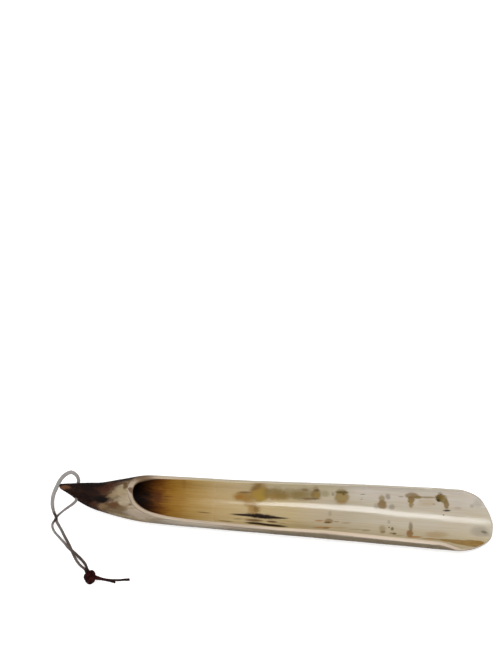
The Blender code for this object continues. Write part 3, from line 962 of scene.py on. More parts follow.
# ------------------------------------------------------------------ shader helpers
class Value:
    """An output in a node tree. Its arithmetic and its methods add nodes."""

    def __init__(self, shader, socket):
        self.shader, self.socket = shader, socket

    def __add__(self, other):
        return self.shader.math("ADD", self, other)

    def __sub__(self, other):
        return self.shader.math("SUBTRACT", self, other)

    def __mul__(self, other):
        return self.shader.math("MULTIPLY", self, other)

    def times_plus(self, factor, term):
        return self.shader.math("MULTIPLY_ADD", self, factor, term)

    def shifted(self, noise, size):
        """Moved both ways by a noise, size being its whole range."""
        return (noise - 0.5).times_plus(size, self)

    def fade(self, start, to, low=0.0, high=1.0, smooth=True):
        """low at start, changing to high at to, and held beyond both."""
        kind = "SMOOTHSTEP" if smooth else "LINEAR"
        inputs = {0: self, 1: start, 2: to, 3: low, 4: high}
        return self.shader.add("MapRange", 0, inputs, clamp=True, interpolation_type=kind)

    def ramp(self, stops):
        """Colours read from (position, colour) stops."""
        result = self.shader.add("ValToRGB", 0, {0: self})
        elements = result.socket.node.color_ramp.elements
        elements.remove(elements[-1])
        elements[0].position, elements[0].color = stops[0][0], (*stops[0][1], 1.0)
        for position, colour in stops[1:]:
            elements.new(position).color = (*colour, 1.0)
        return result

    def ramp_between(self, start, end, stops):
        """Colours read from (value, colour) stops that lie between start and end."""
        share = self.fade(start, to=end, smooth=False)
        return share.ramp([((value - start) / (end - start), c) for value, c in stops])

    def toward(self, colour, by):
        return self.shader.blend(self, colour, by)

    def dyed(self, factor, by):
        """Multiplied by a colour, as far as by."""
        return self.toward(self.shader.blend(self, factor, 1.0, mode="MULTIPLY"), by)

    def split(self):
        node = self.shader.add("SeparateXYZ", 0, {0: self}).socket.node
        return [Value(self.shader, socket) for socket in node.outputs]


class Shader:
    """Adds nodes to a tree. Inputs are Values, numbers or tuples; colours may leave out alpha."""

    def __init__(self, tree):
        self.tree = tree

    def put(self, socket, value):
        if isinstance(value, Value):
            self.tree.links.new(value.socket, socket)
        elif socket.type == "RGBA":
            socket.default_value = (*value, 1.0)
        else:
            socket.default_value = value

    def fill(self, node, inputs):
        for key, value in inputs.items():
            self.put(node.inputs[key], value)

    def add(self, kind, output=0, inputs={}, **settings):
        node = self.tree.nodes.new("ShaderNode" + kind)
        for name, setting in settings.items():
            setattr(node, name, setting)
        self.fill(node, inputs)
        return Value(self, node.outputs[output])

    def surface(self, inputs):
        self.fill(self.tree.nodes["Principled BSDF"], inputs)

    def math(self, operation, *inputs):
        return self.add("Math", 0, dict(enumerate(inputs)), operation=operation)

    def vector(self, operation, *inputs, output="Vector"):
        return self.add("VectorMath", output, dict(enumerate(inputs)), operation=operation)

    def millimetres(self, place):
        return self.add("VectorMath", 0, {0: place, "Scale": 1000.0}, operation="SCALE")

    def blend(self, first, second, by, mode="MIX"):
        return self.add(
            "Mix", 2, {0: by, 6: first, 7: second},
            data_type="RGBA", blend_type=mode, clamp_factor=True,
        )

    def noise(self, place, scale, detail, rough, distortion=0.0, output="Fac"):
        inputs = {
            "Vector": place, "Scale": scale, "Detail": detail, "Roughness": rough,
            "Distortion": distortion,
        }
        return self.add("TexNoise", output, inputs)

    def attribute(self, name):
        return self.add("Attribute", "Fac", attribute_name=name)

    def bump(self, height, strength, distance, **normal):
        inputs = {"Strength": strength, "Distance": distance, "Height": height, **normal}
        return self.add("Bump", "Normal", inputs)


def new_material(name, shader_class=Shader):
    material = bpy.data.materials.new(name)
    material.use_nodes = True
    return material, shader_class(material.node_tree)


def new_group(name, **kinds):
    """A node group with one colour output: its shader, its inputs by name, its output socket."""
    tree = bpy.data.node_groups.new(name, "ShaderNodeTree")
    for label, kind in kinds.items():
        tree.interface.new_socket(label, in_out="INPUT", socket_type="NodeSocket" + kind)
    tree.interface.new_socket("Color", in_out="OUTPUT", socket_type="NodeSocketColor")
    shader = Shader(tree)
    source, result = tree.nodes.new("NodeGroupInput"), tree.nodes.new("NodeGroupOutput")
    inputs = {label: Value(shader, source.outputs[label]) for label in kinds}
    return shader, inputs, result.inputs[0]


def stain_group():
    """A soft elliptic stain on the plan of the horn, with a darker outline. P is (x, y, 1)."""
    shader, given, result = new_group(
        "stain", Base="Color", P="Vector", A="Vector", B="Vector", Grit="Float", Outer="Float",
        Inner="Float", Strength="Float", Tint="Color", Rim="Float",
    )
    u, v = (shader.vector("DOT_PRODUCT", given["P"], given[k], output="Value") for k in "AB")
    distance = u.times_plus(u, v * v) + given["Grit"]
    mask = distance.fade(given["Outer"], to=given["Inner"])
    ring = distance.fade(0.25, to=1.05) * given["Rim"]
    tint = given["Tint"].dyed((0.46, 0.40, 0.34), by=ring)
    shader.put(result, given["Base"].toward(tint, by=mask * given["Strength"]))
    return shader.tree


def patch_group():
    """A soft patch of colour inside an ellipsoid."""
    shader, given, result = new_group(
        "patch", Base="Color", P="Vector", Centre="Vector", Radius="Vector", Grit="Float",
        Outer="Float", Inner="Float", Strength="Float", Tint="Color",
    )
    offset = shader.vector("SUBTRACT", given["P"], given["Centre"])
    offset = shader.vector("DIVIDE", offset, given["Radius"])
    distance = shader.vector("DOT_PRODUCT", offset, offset, output="Value") + given["Grit"]
    mask = distance.fade(given["Outer"], to=given["Inner"])
    shader.put(result, given["Base"].toward(given["Tint"], by=mask * given["Strength"]))
    return shader.tree


# ------------------------------------------------------------------ polished horn
# x, ground colour of the hollow: black in the pocket, amber, straw, then a greyer blade
HOLLOW_COLOURS = (
    (80, (0.004, 0.0016, 0.001)), (87, (0.008, 0.0032, 0.0014)), (94, (0.028, 0.0095, 0.0025)),
    (100, (0.076, 0.026, 0.005)), (108, (0.158, 0.058, 0.0085)), (118, (0.262, 0.133, 0.02)),
    (129, (0.285, 0.158, 0.034)), (140, (0.33, 0.206, 0.06)), (152, (0.36, 0.245, 0.088)),
    (165, (0.405, 0.295, 0.14)), (190, (0.43, 0.332, 0.178)), (245, (0.42, 0.337, 0.193)),
    (268, (0.415, 0.345, 0.24)), (302, (0.395, 0.342, 0.258)), (330, (0.435, 0.388, 0.305)),
    (424, (0.45, 0.398, 0.318)), (450, (0.445, 0.402, 0.322)),
)

OLIVE, TAN, BROWN = (0.185, 0.128, 0.042), (0.25, 0.14, 0.032), (0.1, 0.047, 0.013)
BLACK, AMBER, GREY = (0.014, 0.006, 0.003), (0.215, 0.11, 0.018), (0.185, 0.16, 0.125)
GOLD, YELLOW, ORANGE = (0.295, 0.18, 0.04), (0.29, 0.205, 0.028), (0.27, 0.118, 0.022)
RUST, RED, KHAKI = (0.185, 0.082, 0.016), (0.075, 0.022, 0.007), (0.25, 0.172, 0.058)
UMBER, MOSS, GREEN = (0.19, 0.118, 0.042), (0.09, 0.066, 0.018), (0.245, 0.22, 0.12)
# stains on the hollow side: centre x, y, half sizes, turn (degrees), softness, strength, colour,
# darkness of the outline
STAINS = (
    (153.9, -0.1, 6.85, 0.71, -0.9, 0.6, 0.6, BROWN, 0),
    (177.9, -9.2, 7.38, 0.75, 0.3, 0.6, 0.7, BROWN, 0),
    (131, 22, 1.69, 2.13, 1.7, 0.9, 0.35, AMBER, 0), (104.4, 11.9, 3.69, 3.95, 3.5, 0.8, 0.6, RED, 0),
    (193.5, 18, 9.7, 3.24, 3.1, 0.5, 0.85, TAN, 0.4),
    (189.8, 17.6, 3.58, 1.41, 3.1, 0.7, 0.75, ORANGE, 0),
    (196.4, 21.2, 7.91, 0.59, 2.7, 0.5, 0.6, BROWN, 0),
    (200.2, 13.4, 5.8, 3.57, -13.8, 0.8, 0.65, TAN, 0),
    (206, 7.5, 5.69, 4.67, 4.1, 0.7, 0.75, TAN, 0.2), (208, 8.2, 2.32, 2.41, 4, 0.8, 0.45, BROWN, 0),
    (210.4, 20.9, 9.7, 5.21, 2.8, 0.35, 0.9, GOLD, 0.9),
    (212.9, 19.1, 4.01, 3.38, 3, 0.7, 0.55, YELLOW, 0),
    (205.7, 23.9, 5.27, 0.92, 12, 0.8, 0.4, BROWN, 0),
    (226.8, 21.9, 10.54, 3, 2.5, 0.8, 0.8, OLIVE, 0),
    (230.2, 20.4, 10.43, 2.2, 2.9, 0.7, 0.58, TAN, 0), (224.6, 24, 7.38, 0.9, 2, 0.8, 0.45, OLIVE, 0),
    (242.5, 22.6, 12.54, 2.7, 2.2, 0.9, 0.66, OLIVE, 0),
    (257.3, 23, 11.01, 3.3, 2.3, 0.7, 0.72, OLIVE, 0.2),
    (258.2, 26.4, 3.37, 0.6, 1.6, 0.7, 0.5, BROWN, 0),
    (269.9, 24.4, 4.85, 3.13, 2.4, 0.45, 0.85, OLIVE, 0.7),
    (270.2, 26.9, 2.74, 0.6, 1.6, 0.5, 0.7, BROWN, 0),
    (264.9, 21.1, 9.49, 0.66, 2.9, 0.5, 0.6, BROWN, 0),
    (270.8, 23.9, 2.42, 1.64, 2.5, 0.7, 0.45, GOLD, 0),
    (279.3, 25.3, 3.79, 1.61, 2.3, 0.8, 0.65, GREEN, 0),
    (287.7, 25.7, 1.37, 1.03, 2.3, 0.6, 0.62, GREY, 0),
    (297.1, 24.3, 7.17, 4.28, 2.6, 0.35, 0.86, KHAKI, 0.8),
    (297.1, 27.3, 6.54, 0.79, 1.9, 0.5, 0.8, MOSS, 0),
    (298.9, 26.2, 1.37, 0.56, 2.2, 0.5, 0.75, BROWN, 0),
    (297.2, 20.1, 5.27, 1.57, 3.2, 0.7, 0.4, TAN, 0),
    (319.2, 27.2, 2.53, 0.31, 2.1, 0.6, 0.75, GREY, 0),
    (317.9, 23.8, 1.48, 0.55, 2.8, 0.7, 0.4, GREY, 0),
    (339.2, 25.6, 3.06, 2.05, 2.6, 0.5, 0.66, OLIVE, 0.2),
    (340.1, 20.9, 4.43, 3.29, 3.2, 0.4, 0.86, UMBER, 0.7),
    (333.9, 19.4, 2.53, 2.12, 3.3, 0.8, 0.42, GREY, 0),
    (345.6, 27.2, 2.32, 1.5, -9, 0.8, 0.62, GREY, 0), (350.4, 19.6, 2.74, 1.97, 3.3, 0.8, 0.6, GREY, 0),
    (359.2, 28, 2.64, 0.28, 2.2, 0.6, 0.72, GREY, 0),
    (370.7, 29.1, 6.75, 1.63, 2.1, 0.35, 0.76, UMBER, 0.9),
    (377.1, 28.6, 3.79, 1, 2.2, 0.4, 0.8, OLIVE, 0.3),
    (370.2, 26.7, 3.58, 2.28, 2.5, 0.4, 0.85, UMBER, 0.5),
    (370.4, 23.6, 2.21, 2.65, 3, 0.5, 0.75, OLIVE, 0.2),
    (370.3, 25.1, 1.48, 1.11, 2.8, 0.7, 0.5, GOLD, 0),
    (387.1, 29, 10.01, 0.53, 2.2, 0.6, 0.72, OLIVE, 0),
    (400.2, 29.4, 4.43, 2.24, 2.3, 0.35, 0.95, MOSS, 0.5),
    (400.1, 30.4, 2.11, 0.75, 2, 0.6, 0.7, RUST, 0),
    (398.2, 27.7, 1.26, 0.76, 2.6, 0.4, 0.95, BLACK, 0),
    (404.5, 28.3, 3.58, 2.47, -20.1, 0.4, 0.85, OLIVE, 0.3),
    (407.4, 25.1, 2.74, 3.2, 2.9, 0.4, 0.85, UMBER, 0.6),
    (408.3, 20.4, 3.58, 0.75, 3.4, 0.5, 0.85, BLACK, 0),
    (405.2, 16.3, 1.05, 0.45, 3.7, 0.5, 0.8, BLACK, 0),
    (394.3, 24.7, 1.26, 0.58, 2.9, 0.7, 0.5, GREY, 0),
    (379.9, 26.3, 0.95, 0.4, 2.7, 0.7, 0.4, GREY, 0),
    (387.9, 25.7, 8.43, 2.35, 2.8, 0.9, 0.28, GOLD, 0),
    (419.7, 23.2, 3.16, 0.94, 3.1, 0.9, 0.3, GREY, 0),
    (434.3, 25.6, 2.11, 1.17, 2.9, 0.8, 0.4, GREY, 0),
    (440.4, 28, 3.69, 2.64, 2.7, 0.9, 0.25, GREY, 0), (286, 9.1, 1.69, 2.42, 4.1, 0.8, 0.4, GREY, 0),
    (275.1, 0.7, 4.22, 0.94, 4.7, 0.6, 0.65, ORANGE, 0),
    (285.6, 1.2, 4.43, 2.56, 4.7, 0.5, 0.72, UMBER, 0.3),
    (284.1, -0.6, 3.37, 1.08, 4.8, 0.5, 0.85, BROWN, 0),
    (293.5, 0.9, 2.95, 0.82, 4.7, 0.6, 0.6, UMBER, 0),
    (303.6, 0.4, 4.64, 0.83, 4.8, 0.7, 0.45, OLIVE, 0),
    (280, -7.7, 9.49, 1.26, 5.6, 0.5, 0.78, ORANGE, 0),
    (283.2, -8, 3.16, 1.27, 5.7, 0.6, 0.5, BROWN, 0),
    (297.8, -6.2, 6.32, 0.94, 5.4, 0.8, 0.35, TAN, 0),
    (325.2, -6.9, 4.22, 1.35, 5.4, 0.7, 0.55, OLIVE, 0),
    (314.7, -6.8, 6.32, 0.82, 5.5, 0.8, 0.35, OLIVE, 0),
    (342.4, -4.2, 2.95, 4.59, 5.1, 0.7, 0.5, OLIVE, 0),
    (343.2, -7.4, 2.74, 1.5, 5.5, 0.6, 0.7, UMBER, 0),
    (349.3, -1, 0.74, 0.72, 4.8, 0.5, 0.8, BLACK, 0), (352.6, -2.6, 1.48, 2.23, 5, 0.5, 0.75, MOSS, 0),
    (355.1, -8.5, 2.42, 1.39, 5.6, 0.5, 0.85, BROWN, 0),
    (351.5, -8.4, 1.69, 1.39, 5.6, 0.6, 0.6, UMBER, 0),
    (348.5, 5.2, 1.37, 1.73, 4.4, 0.7, 0.45, GREY, 0),
    (360.3, -10.7, 5.27, 1.17, 5.9, 0.8, 0.35, OLIVE, 0),
    (371.8, 1.5, 2, 4.85, 4.6, 0.6, 0.62, MOSS, 0),
    (371.6, -6.8, 3.48, 4.56, 5.4, 0.45, 0.82, RUST, 0.2),
    (376.7, -10.9, 7.38, 1.18, 5.9, 0.5, 0.8, ORANGE, 0),
    (393.1, -11.9, 6.85, 1.05, 6, 0.6, 0.6, ORANGE, 0),
    (400, -5.3, 9.49, 3.37, 5.2, 0.9, 0.4, TAN, 0), (449.1, 1.9, 3.16, 1.38, -11.9, 0.5, 0.85, MOSS, 0),
    (444.6, 2.3, 7.91, 4.81, 4.6, 0.9, 0.5, GREY, 0),
    (452.3, -0.6, 3.16, 2.4, 4.8, 0.9, 0.4, GREY, 0),
    (214.5, 0.7, 16.76, 2.6, -2, 0.45, 1, BLACK, 0),
    (198.1, 0.8, 14.76, 1.25, 0.3, 0.5, 0.95, BLACK, 0),
    (228.8, 0.4, 12.76, 1.1, 0.4, 0.5, 0.92, BLACK, 0),
    (207, -4.9, 8.43, 1.71, 1.6, 0.6, 0.85, BROWN, 0),
    (226, -5, 5.48, 1.31, -0.9, 0.5, 0.9, BROWN, 0),
    (236.6, -6.2, 5.27, 0.81, -1, 0.7, 0.6, UMBER, 0),
    (209.5, -8.9, 10.54, 1.61, 0.3, 0.4, 0.97, BLACK, 0),
    (226.4, -10, 14.76, 1.73, -1.1, 0.4, 0.95, BLACK, 0),
    (190.1, -4.7, 4.22, 1.31, 5.3, 0.7, 0.5, OLIVE, 0),
    (199.5, -3.5, 4.22, 0.64, 5.1, 0.7, 0.4, ORANGE, 0),
    (244.8, -2.9, 12.65, 0.76, -0.9, 0.9, 0.3, TAN, 0),
    (255.7, -7.6, 18.97, 1.97, 0.3, 0.9, 0.35, OLIVE, 0),
)
# the amber band that widens along the lower near side towards the blade's end:
# centre x, y, half sizes, turn, softness, strength
AMBER_BAND = (
    (408.9, -11.8, 10.5, 1, 0, 0.6, 0.55), (416.4, -12.9, 12.7, 2.2, -3, 0.4, 0.88),
    (427.1, -14.2, 13.6, 3.8, -5, 0.35, 0.95), (437.5, -14.6, 12, 5.2, -4, 0.3, 0.97),
    (444, -14.3, 8, 5, 0, 0.35, 0.95), (392, -12.2, 14, 0.8, -3, 0.7, 0.45),
)
# patches on the outside of the handle: centre, radii, softness, strength, colour
PATCHES = (
    ((7.6, 0.5, 35.4), (6.2, 2.2, 6), 0.5, 0.95, (0.096, 0.04, 0.019)),
    ((13.5, -1, 35), (4, 2.2, 6), 0.9, 0.18, (0.05, 0.019, 0.01)),
    ((51.5, 1.6, 37.5), (6.6, 4.4, 8), 0.7, 0.9, (0.038, 0.0105, 0.0045)),
    ((44.5, 2.5, 36), (6, 3, 8), 0.8, 0.5, (0.03, 0.0095, 0.0045)),
    ((58, 7.2, 38.5), (8, 3.4, 8), 0.7, 0.9, (0.04, 0.013, 0.006)),
    ((70.5, 14.5, 37), (13, 4.6, 9), 0.6, 0.95, (0.016, 0.0065, 0.004)),
    ((86, 19.5, 34), (13, 5, 8), 0.7, 0.8, (0.028, 0.014, 0.0085)),
    ((52, -8, 35), (9, 3.2, 6), 0.8, 0.55, (0.03, 0.013, 0.0065)),
    ((46.3, -9, 33), (7, 2.9, 5), 0.5, 0.97, (0.003, 0.0019, 0.0015)),
    ((52.8, -8.2, 35), (3.4, 1.8, 4), 0.6, 0.85, (0.005, 0.0028, 0.002)),
    ((47.6, -14.3, 26.9), (6.4, 2.4, 4.4), 0.6, 0.92, (0.155, 0.098, 0.048)),
    ((40.5, -11.5, 26), (4, 3, 4.5), 0.8, 0.6, (0.05, 0.021, 0.012)),
    ((61.4, -15.6, 32.6), (7.2, 3.6, 4.6), 0.45, 0.95, (0.08, 0.035, 0.013)),
    ((56, -19, 26), (8, 3.4, 4.6), 0.8, 0.85, (0.105, 0.072, 0.036)),
    ((69, -17.5, 33), (4.5, 2.6, 4.6), 0.8, 0.8, (0.125, 0.08, 0.04)),
    ((57.5, -6.6, 38.1), (5, 2, 5), 0.7, 0.7, (0.225, 0.16, 0.085)),
    ((66, -2.4, 41.8), (6.4, 3.8, 6), 0.7, 0.75, (0.29, 0.225, 0.135)),
    ((64, -9.3, 38.6), (7, 1.1, 5), 0.8, 0.6, (0.14, 0.108, 0.066)),
    ((70.8, 4.6, 43), (2.8, 4.6, 6), 0.5, 0.9, (0.085, 0.042, 0.014)),
    ((75.5, 8, 42.5), (3, 3.6, 6), 0.6, 0.6, (0.09, 0.05, 0.024)),
    ((79.6, -15.4, 39.3), (3.2, 1.6, 4), 0.5, 0.92, (0.1, 0.058, 0.026)),
    ((71.5, -11.5, 40), (6.5, 3.6, 5), 0.8, 0.6, (0.33, 0.268, 0.185)),
    ((67, -20.5, 28.5), (8.6, 2.8, 4.6), 0.8, 0.9, (0.112, 0.078, 0.043)),
    ((84, -22.5, 31), (12, 3, 4.6), 0.8, 0.75, (0.28, 0.225, 0.178)),
    ((23.9, -8.7, 27.2), (9, 2, 3), 0.8, 0.4, (0.024, 0.0085, 0.0055)),
    ((31, 6, 33.5), (10, 2.4, 5), 0.8, 0.6, (0.0042, 0.0022, 0.0016)),
)


def stain_axes(cx, cy, rx, ry, turn):
    """Vectors whose dot products with (x, y, 1) are the place in the ellipse."""
    a = math.radians(turn)
    c, s = math.cos(a), math.sin(a)
    return {
        "A": (c / rx, s / rx, -(cx * c + cy * s) / rx),
        "B": (-s / ry, c / ry, (cx * s - cy * c) / ry),
    }


class HornShader(Shader):
    """The horn's colour and polish, over its place in millimetres and a few shared noises."""

    def __init__(self, tree):
        super().__init__(tree)
        place = self.vector("SUBTRACT", self.add("TexCoord", "Object"), tuple(ORIGIN))
        self.place = self.millimetres(place)
        self.xyz = self.place.split()
        self.skin = self.attribute("skin")
        self.fibre = self.grain(0.016, 0.9, detail=6, rough=0.62, distortion=0.15)
        self.fine = self.grain(0.035, 3.6, detail=4, rough=0.6)
        self.broad = self.grain(0.02, 0.075, detail=3, distortion=0.4)
        self.cloud = self.grain(0.06, 0.12, detail=4, rough=0.55, distortion=0.6)
        self.fleck = self.grain(0.35, 0.55, detail=5, rough=0.6)
        grit = self.grain(0.9, 1.3, detail=4, rough=0.65) - 0.5
        self.grit_small = grit * 0.8
        self.grit_patch = grit.times_plus(1.5, (self.fleck - 0.5) * 1.3) * 0.62

    def grain(self, along, across, detail, rough=0.5, place=None, **options):
        """Noise with its frequencies per mm along x and across it."""
        place = self.vector("MULTIPLY", place or self.place, (along, across, across))
        return self.noise(place, 1.0, detail, rough, **options)

    def hollow(self):
        """Ground colour of the hollow side."""
        x, y, z = self.xyz
        fibre, fine, broad = self.fibre, self.fine, self.broad
        colour = x.shifted(self.cloud, 16).shifted(fibre, 26).ramp_between(70, 470, HOLLOW_COLOURS)
        # yellower towards the near side, greyer high on the far side
        low = y.shifted(broad, 14).fade(6, to=-16) * x.fade(150, to=230)
        colour = colour.toward((0.345, 0.262, 0.108), by=low * 0.62)
        high = y.shifted(broad, 16).fade(10, to=30) * x.fade(120, to=260)
        colour = colour.toward((0.44, 0.395, 0.325), by=high * 0.5)
        pale = y.shifted(broad, 6).fade(20, to=30) * x.fade(262, to=300)
        pale = pale * x.fade(310, to=360, low=0.92, high=0.58)
        colour = colour.toward((0.56, 0.522, 0.49), by=pale)
        cool = y.fade(18, to=27) * (x.fade(215, to=250) * x.fade(325, to=285))
        colour = colour.toward((0.415, 0.365, 0.248), by=cool * 0.75)
        # painted sheen: brighter and bluer high on the far wall
        glow = z.fade(20, to=28.5) * y.fade(2, to=10) * (x.fade(92, to=120) * x.fade(330, to=250))
        glow = glow * x.fade(170, to=225, low=0.85, high=0.35)
        colour = colour.dyed((1.36, 1.42, 1.5), by=glow)
        # dark and light fibres, then broad brown drifts
        dark_fibre = fibre.fade(0.36, to=0.62, low=1.0, high=0.0)
        colour = colour.dyed((0.74, 0.62, 0.42), by=dark_fibre * 0.24)
        colour = colour.dyed((1.22, 1.2, 1.16), by=fine.fade(0.52, to=0.7) * 0.28)
        colour = colour.dyed((0.72, 0.64, 0.5), by=fine.fade(0.46, to=0.3) * 0.22)
        return colour.dyed((0.86, 0.8, 0.66), by=broad.fade(0.5, to=0.66) * 0.24)

    def plan(self, x, y):
        return self.add("CombineXYZ", 0, {0: x, 1: y, 2: 1.0})

    def stained(self, colour):
        """Stains with edges eaten by the grain, then the amber band."""
        x, y, _ = self.xyz
        elsewhere = self.vector("ADD", self.place, (31, 21.7, 40.3))
        warp_x, warp_y = (
            self.grain(0.22, 0.34, detail=5, rough=0.62, distortion=0.2, place=place) - 0.5
            for place in (self.place, elsewhere)
        )
        wide = self.plan(warp_x.times_plus(4.0, x), warp_y.times_plus(3.4, y))
        fine_x = warp_x.times_plus(1.6, x)
        small = self.plan(fine_x, warp_y.times_plus(1.3, y))
        thin = self.plan(fine_x, y.shifted(self.fine, 1.0))
        group = stain_group()
        for *ellipse, soft, strength, tint, rim in STAINS:
            rx, ry = ellipse[2:4]
            plan, grit = wide, self.grit_patch
            if ry < 1.9 and rx > 3.0:
                plan, grit = thin, self.grit_small
            elif min(rx, ry) < 2.2:
                plan, grit = small, self.grit_small
            inputs = {
                "Base": colour, "P": plan, **stain_axes(*ellipse), "Grit": grit,
                "Outer": 1.1 + 1.75 * soft, "Inner": max(0.0, 1.0 - 1.6 * soft),
                "Strength": min(1.0, strength * 1.05), "Tint": tint, "Rim": 0.4 * rim,
            }
            colour = self.add("Group", 0, inputs, node_tree=group)
        for *ellipse, soft, strength in AMBER_BAND:
            streaks = self.fine.fade(0.35, to=0.65)
            tint = self.blend((0.165, 0.08, 0.012), (0.27, 0.165, 0.035), by=streaks)
            inputs = {
                "Base": colour, "P": thin, **stain_axes(*ellipse), "Grit": 0.0,
                "Outer": 1.0 + 1.1 * soft, "Inner": max(0.05, 1.0 - soft),
                "Strength": strength, "Tint": tint, "Rim": 0.25,
            }
            colour = self.add("Group", 0, inputs, node_tree=group)
        return colour

    def hollow_edges(self, colour):
        """The pale inner corner of the near rim, partly cream and partly a painted highlight, and the
        brown lip at the hollow's mouth.
        """
        x, y, z = self.xyz
        # the pale line at the inner corner of the near rim: partly the cream of the rim, partly a
        # painted highlight
        corner = z.fade(26.6, to=28.6) * y.fade(-10, to=-16) * x.fade(200, to=260)
        pale = self.blend((0.54, 0.432, 0.322), (0.53, 0.432, 0.335), by=x.fade(300, to=350))
        colour = colour.toward(pale, by=corner * 0.95)
        # depth below the slanted cut, whose height in a colour ramp is divided by scale
        scale = 60.0
        stops = [(place, (float(saddle(place)) / scale,) * 3) for place in range(66, 113, 2)]
        height = x.ramp_between(66, 112, stops)
        depth = height.times_plus(scale, z * -1.0).shifted(self.fleck, 0.8)
        mouth = x.fade(104, to=90)
        colour = colour.toward((0.118, 0.072, 0.04), by=depth.fade(4.2, to=2.2) * mouth)
        return colour.toward((0.235, 0.175, 0.115), by=depth.fade(1.5, to=0.5) * mouth)

    def outside_ground(self):
        """Near-black tip with red lights, mottled cream at the shoulder, grey-cream beyond."""
        x, y, _ = self.xyz
        fibre, cloud = self.fibre, self.cloud
        drift = self.grain(0.055, 0.14, detail=5, rough=0.6, distortion=0.8)
        edge_x = x + (drift - 0.5) * 46.0
        edge_x = edge_x + y.fade(-4, to=12) * -9.0
        mottle = cloud.fade(0.4, to=0.68)
        dark = self.blend((0.005, 0.0018, 0.001), (0.016, 0.0055, 0.0027), by=mottle)
        dark = dark.toward((0.034, 0.0105, 0.005), by=fibre.fade(0.52, to=0.7) * 0.5)
        mottle = cloud.fade(0.36, to=0.64)
        cream = self.blend((0.205, 0.148, 0.086), (0.325, 0.262, 0.18), by=mottle)
        threads = fibre.fade(0.36, to=0.6, low=1.0, high=0.0) * 0.55
        cream = cream.toward((0.135, 0.09, 0.046), by=threads)
        threads = fibre.fade(0.38, to=0.62)
        grey = self.blend((0.17, 0.135, 0.098), (0.3, 0.255, 0.2), by=threads)
        grey = grey.toward((0.135, 0.1, 0.066), by=self.fine.fade(0.46, to=0.66) * 0.4)
        flecks = self.fleck.fade(0.35, to=0.65)
        border = self.blend((0.03, 0.0115, 0.0055), (0.105, 0.052, 0.024), by=flecks)
        colour = dark.toward(border, by=edge_x.fade(38, to=58))
        colour = colour.toward(cream, by=edge_x.fade(47, to=70))
        return colour.toward(grey, by=x.fade(84, to=120))

    def outside(self):
        x, _, z = self.xyz
        colour = self.outside_ground()
        wobble = self.grain(0.10, 0.16, detail=4, output="Color")
        wobble = self.vector("MULTIPLY_ADD", wobble, (9, 6, 6), (-4.5, -3, -3))
        place = self.vector("ADD", self.place, wobble)
        group = patch_group()
        for centre, radius, soft, strength, tint in PATCHES:
            inputs = {
                "Base": colour, "P": place, "Centre": centre, "Radius": radius,
                "Grit": self.grit_patch, "Outer": 1.1 + 2.0 * soft,
                "Inner": max(0.0, 1.0 - 1.5 * soft), "Strength": strength, "Tint": tint,
            }
            colour = self.add("Group", 0, inputs, node_tree=group)
        # the lowest strip is browner, with dark lines running back from the handle
        under = z.fade(12, to=1) * self.fibre.fade(0.6, to=0.4)
        colour = colour.toward((0.095, 0.06, 0.032), by=under * 0.55)
        lines = self.grain(0.01, 0.42, detail=2).fade(0.6, to=0.68)
        lines = lines * x.fade(90, to=140, high=0.75)
        colour = colour.toward((0.07, 0.042, 0.022), by=lines)
        # paler high on the sides, just behind the shoulder
        pale = z.fade(12, to=22) * (x.fade(100, to=140, high=0.62) * x.fade(200, to=158))
        colour = colour.toward((0.35, 0.3, 0.235), by=pale)
        # painted shade: a dark band under the two long edges, where the outer walls face away from the
        # light
        band = z.shifted(self.fibre, 5).fade(11, to=20) * x.fade(150, to=250, high=0.9)
        streaks = self.fine.fade(0.35, to=0.65)
        dark = self.blend((0.124, 0.097, 0.062), (0.186, 0.147, 0.096), by=streaks)
        return colour.toward(dark, by=band)

    def sawn(self):
        """Sawn faces: painted shade along their outer border, cream layer, brown next to the hollow at
        the handle.
        """
        x, y, _ = self.xyz
        layer = self.skin.shifted(self.fleck, 0.16)
        streaks = self.fine.fade(0.38, to=0.64)
        colour = self.blend((0.33, 0.262, 0.185), (0.425, 0.345, 0.262), by=streaks)
        colour = colour.toward((0.36, 0.262, 0.205), by=self.cloud.fade(0.45, to=0.7) * 0.35)
        near_rim = y.fade(0, to=-6) * x.fade(190, to=250)
        tint = self.blend((0.5, 0.4, 0.298), (0.52, 0.425, 0.33), by=x.fade(300, to=350))
        colour = colour.toward(tint, by=near_rim * 0.92)
        far_rim = y.fade(0, to=6) * x.fade(110, to=150)
        tint = self.blend((0.345, 0.3, 0.205), (0.385, 0.352, 0.285), by=x.fade(150, to=290))
        colour = colour.toward(tint, by=far_rim * 0.8)
        at_handle = x.fade(112, to=92)
        # painted shade: grey-brown along the outer border of the sawn face at the handle
        outer_edge_shade = layer.fade(0.3, to=0.1) * at_handle * 0.8
        colour = colour.toward((0.14, 0.1, 0.062), by=outer_edge_shade)
        inner_border = layer.fade(0.68, to=0.88) * at_handle * 0.9
        colour = colour.toward((0.115, 0.072, 0.041), by=inner_border)
        # painted shade: the outer part of the near rim is darkened like the shaded band below it
        near_edge_shade = layer.fade(0.36, to=0.14) * y.fade(0, to=-6) * x.fade(150, to=260)
        colour = colour.toward((0.185, 0.144, 0.1), by=near_edge_shade)
        far_dark = y.fade(9, to=17) * x.fade(108, to=88)
        far_dark = far_dark * self.cloud.fade(0.35, to=0.6, low=0.5, high=0.9)
        colour = colour.toward((0.105, 0.062, 0.03), by=far_dark)
        colour = colour.toward((0.225, 0.165, 0.105), by=self.fibre.fade(0.55, to=0.7) * 0.35)
        # the blade's thin end is browner along its outer corner
        end = x.fade(425, to=437) * layer.fade(0.75, to=0.25, low=0.35, high=0.85)
        return colour.toward((0.205, 0.15, 0.1), by=end)


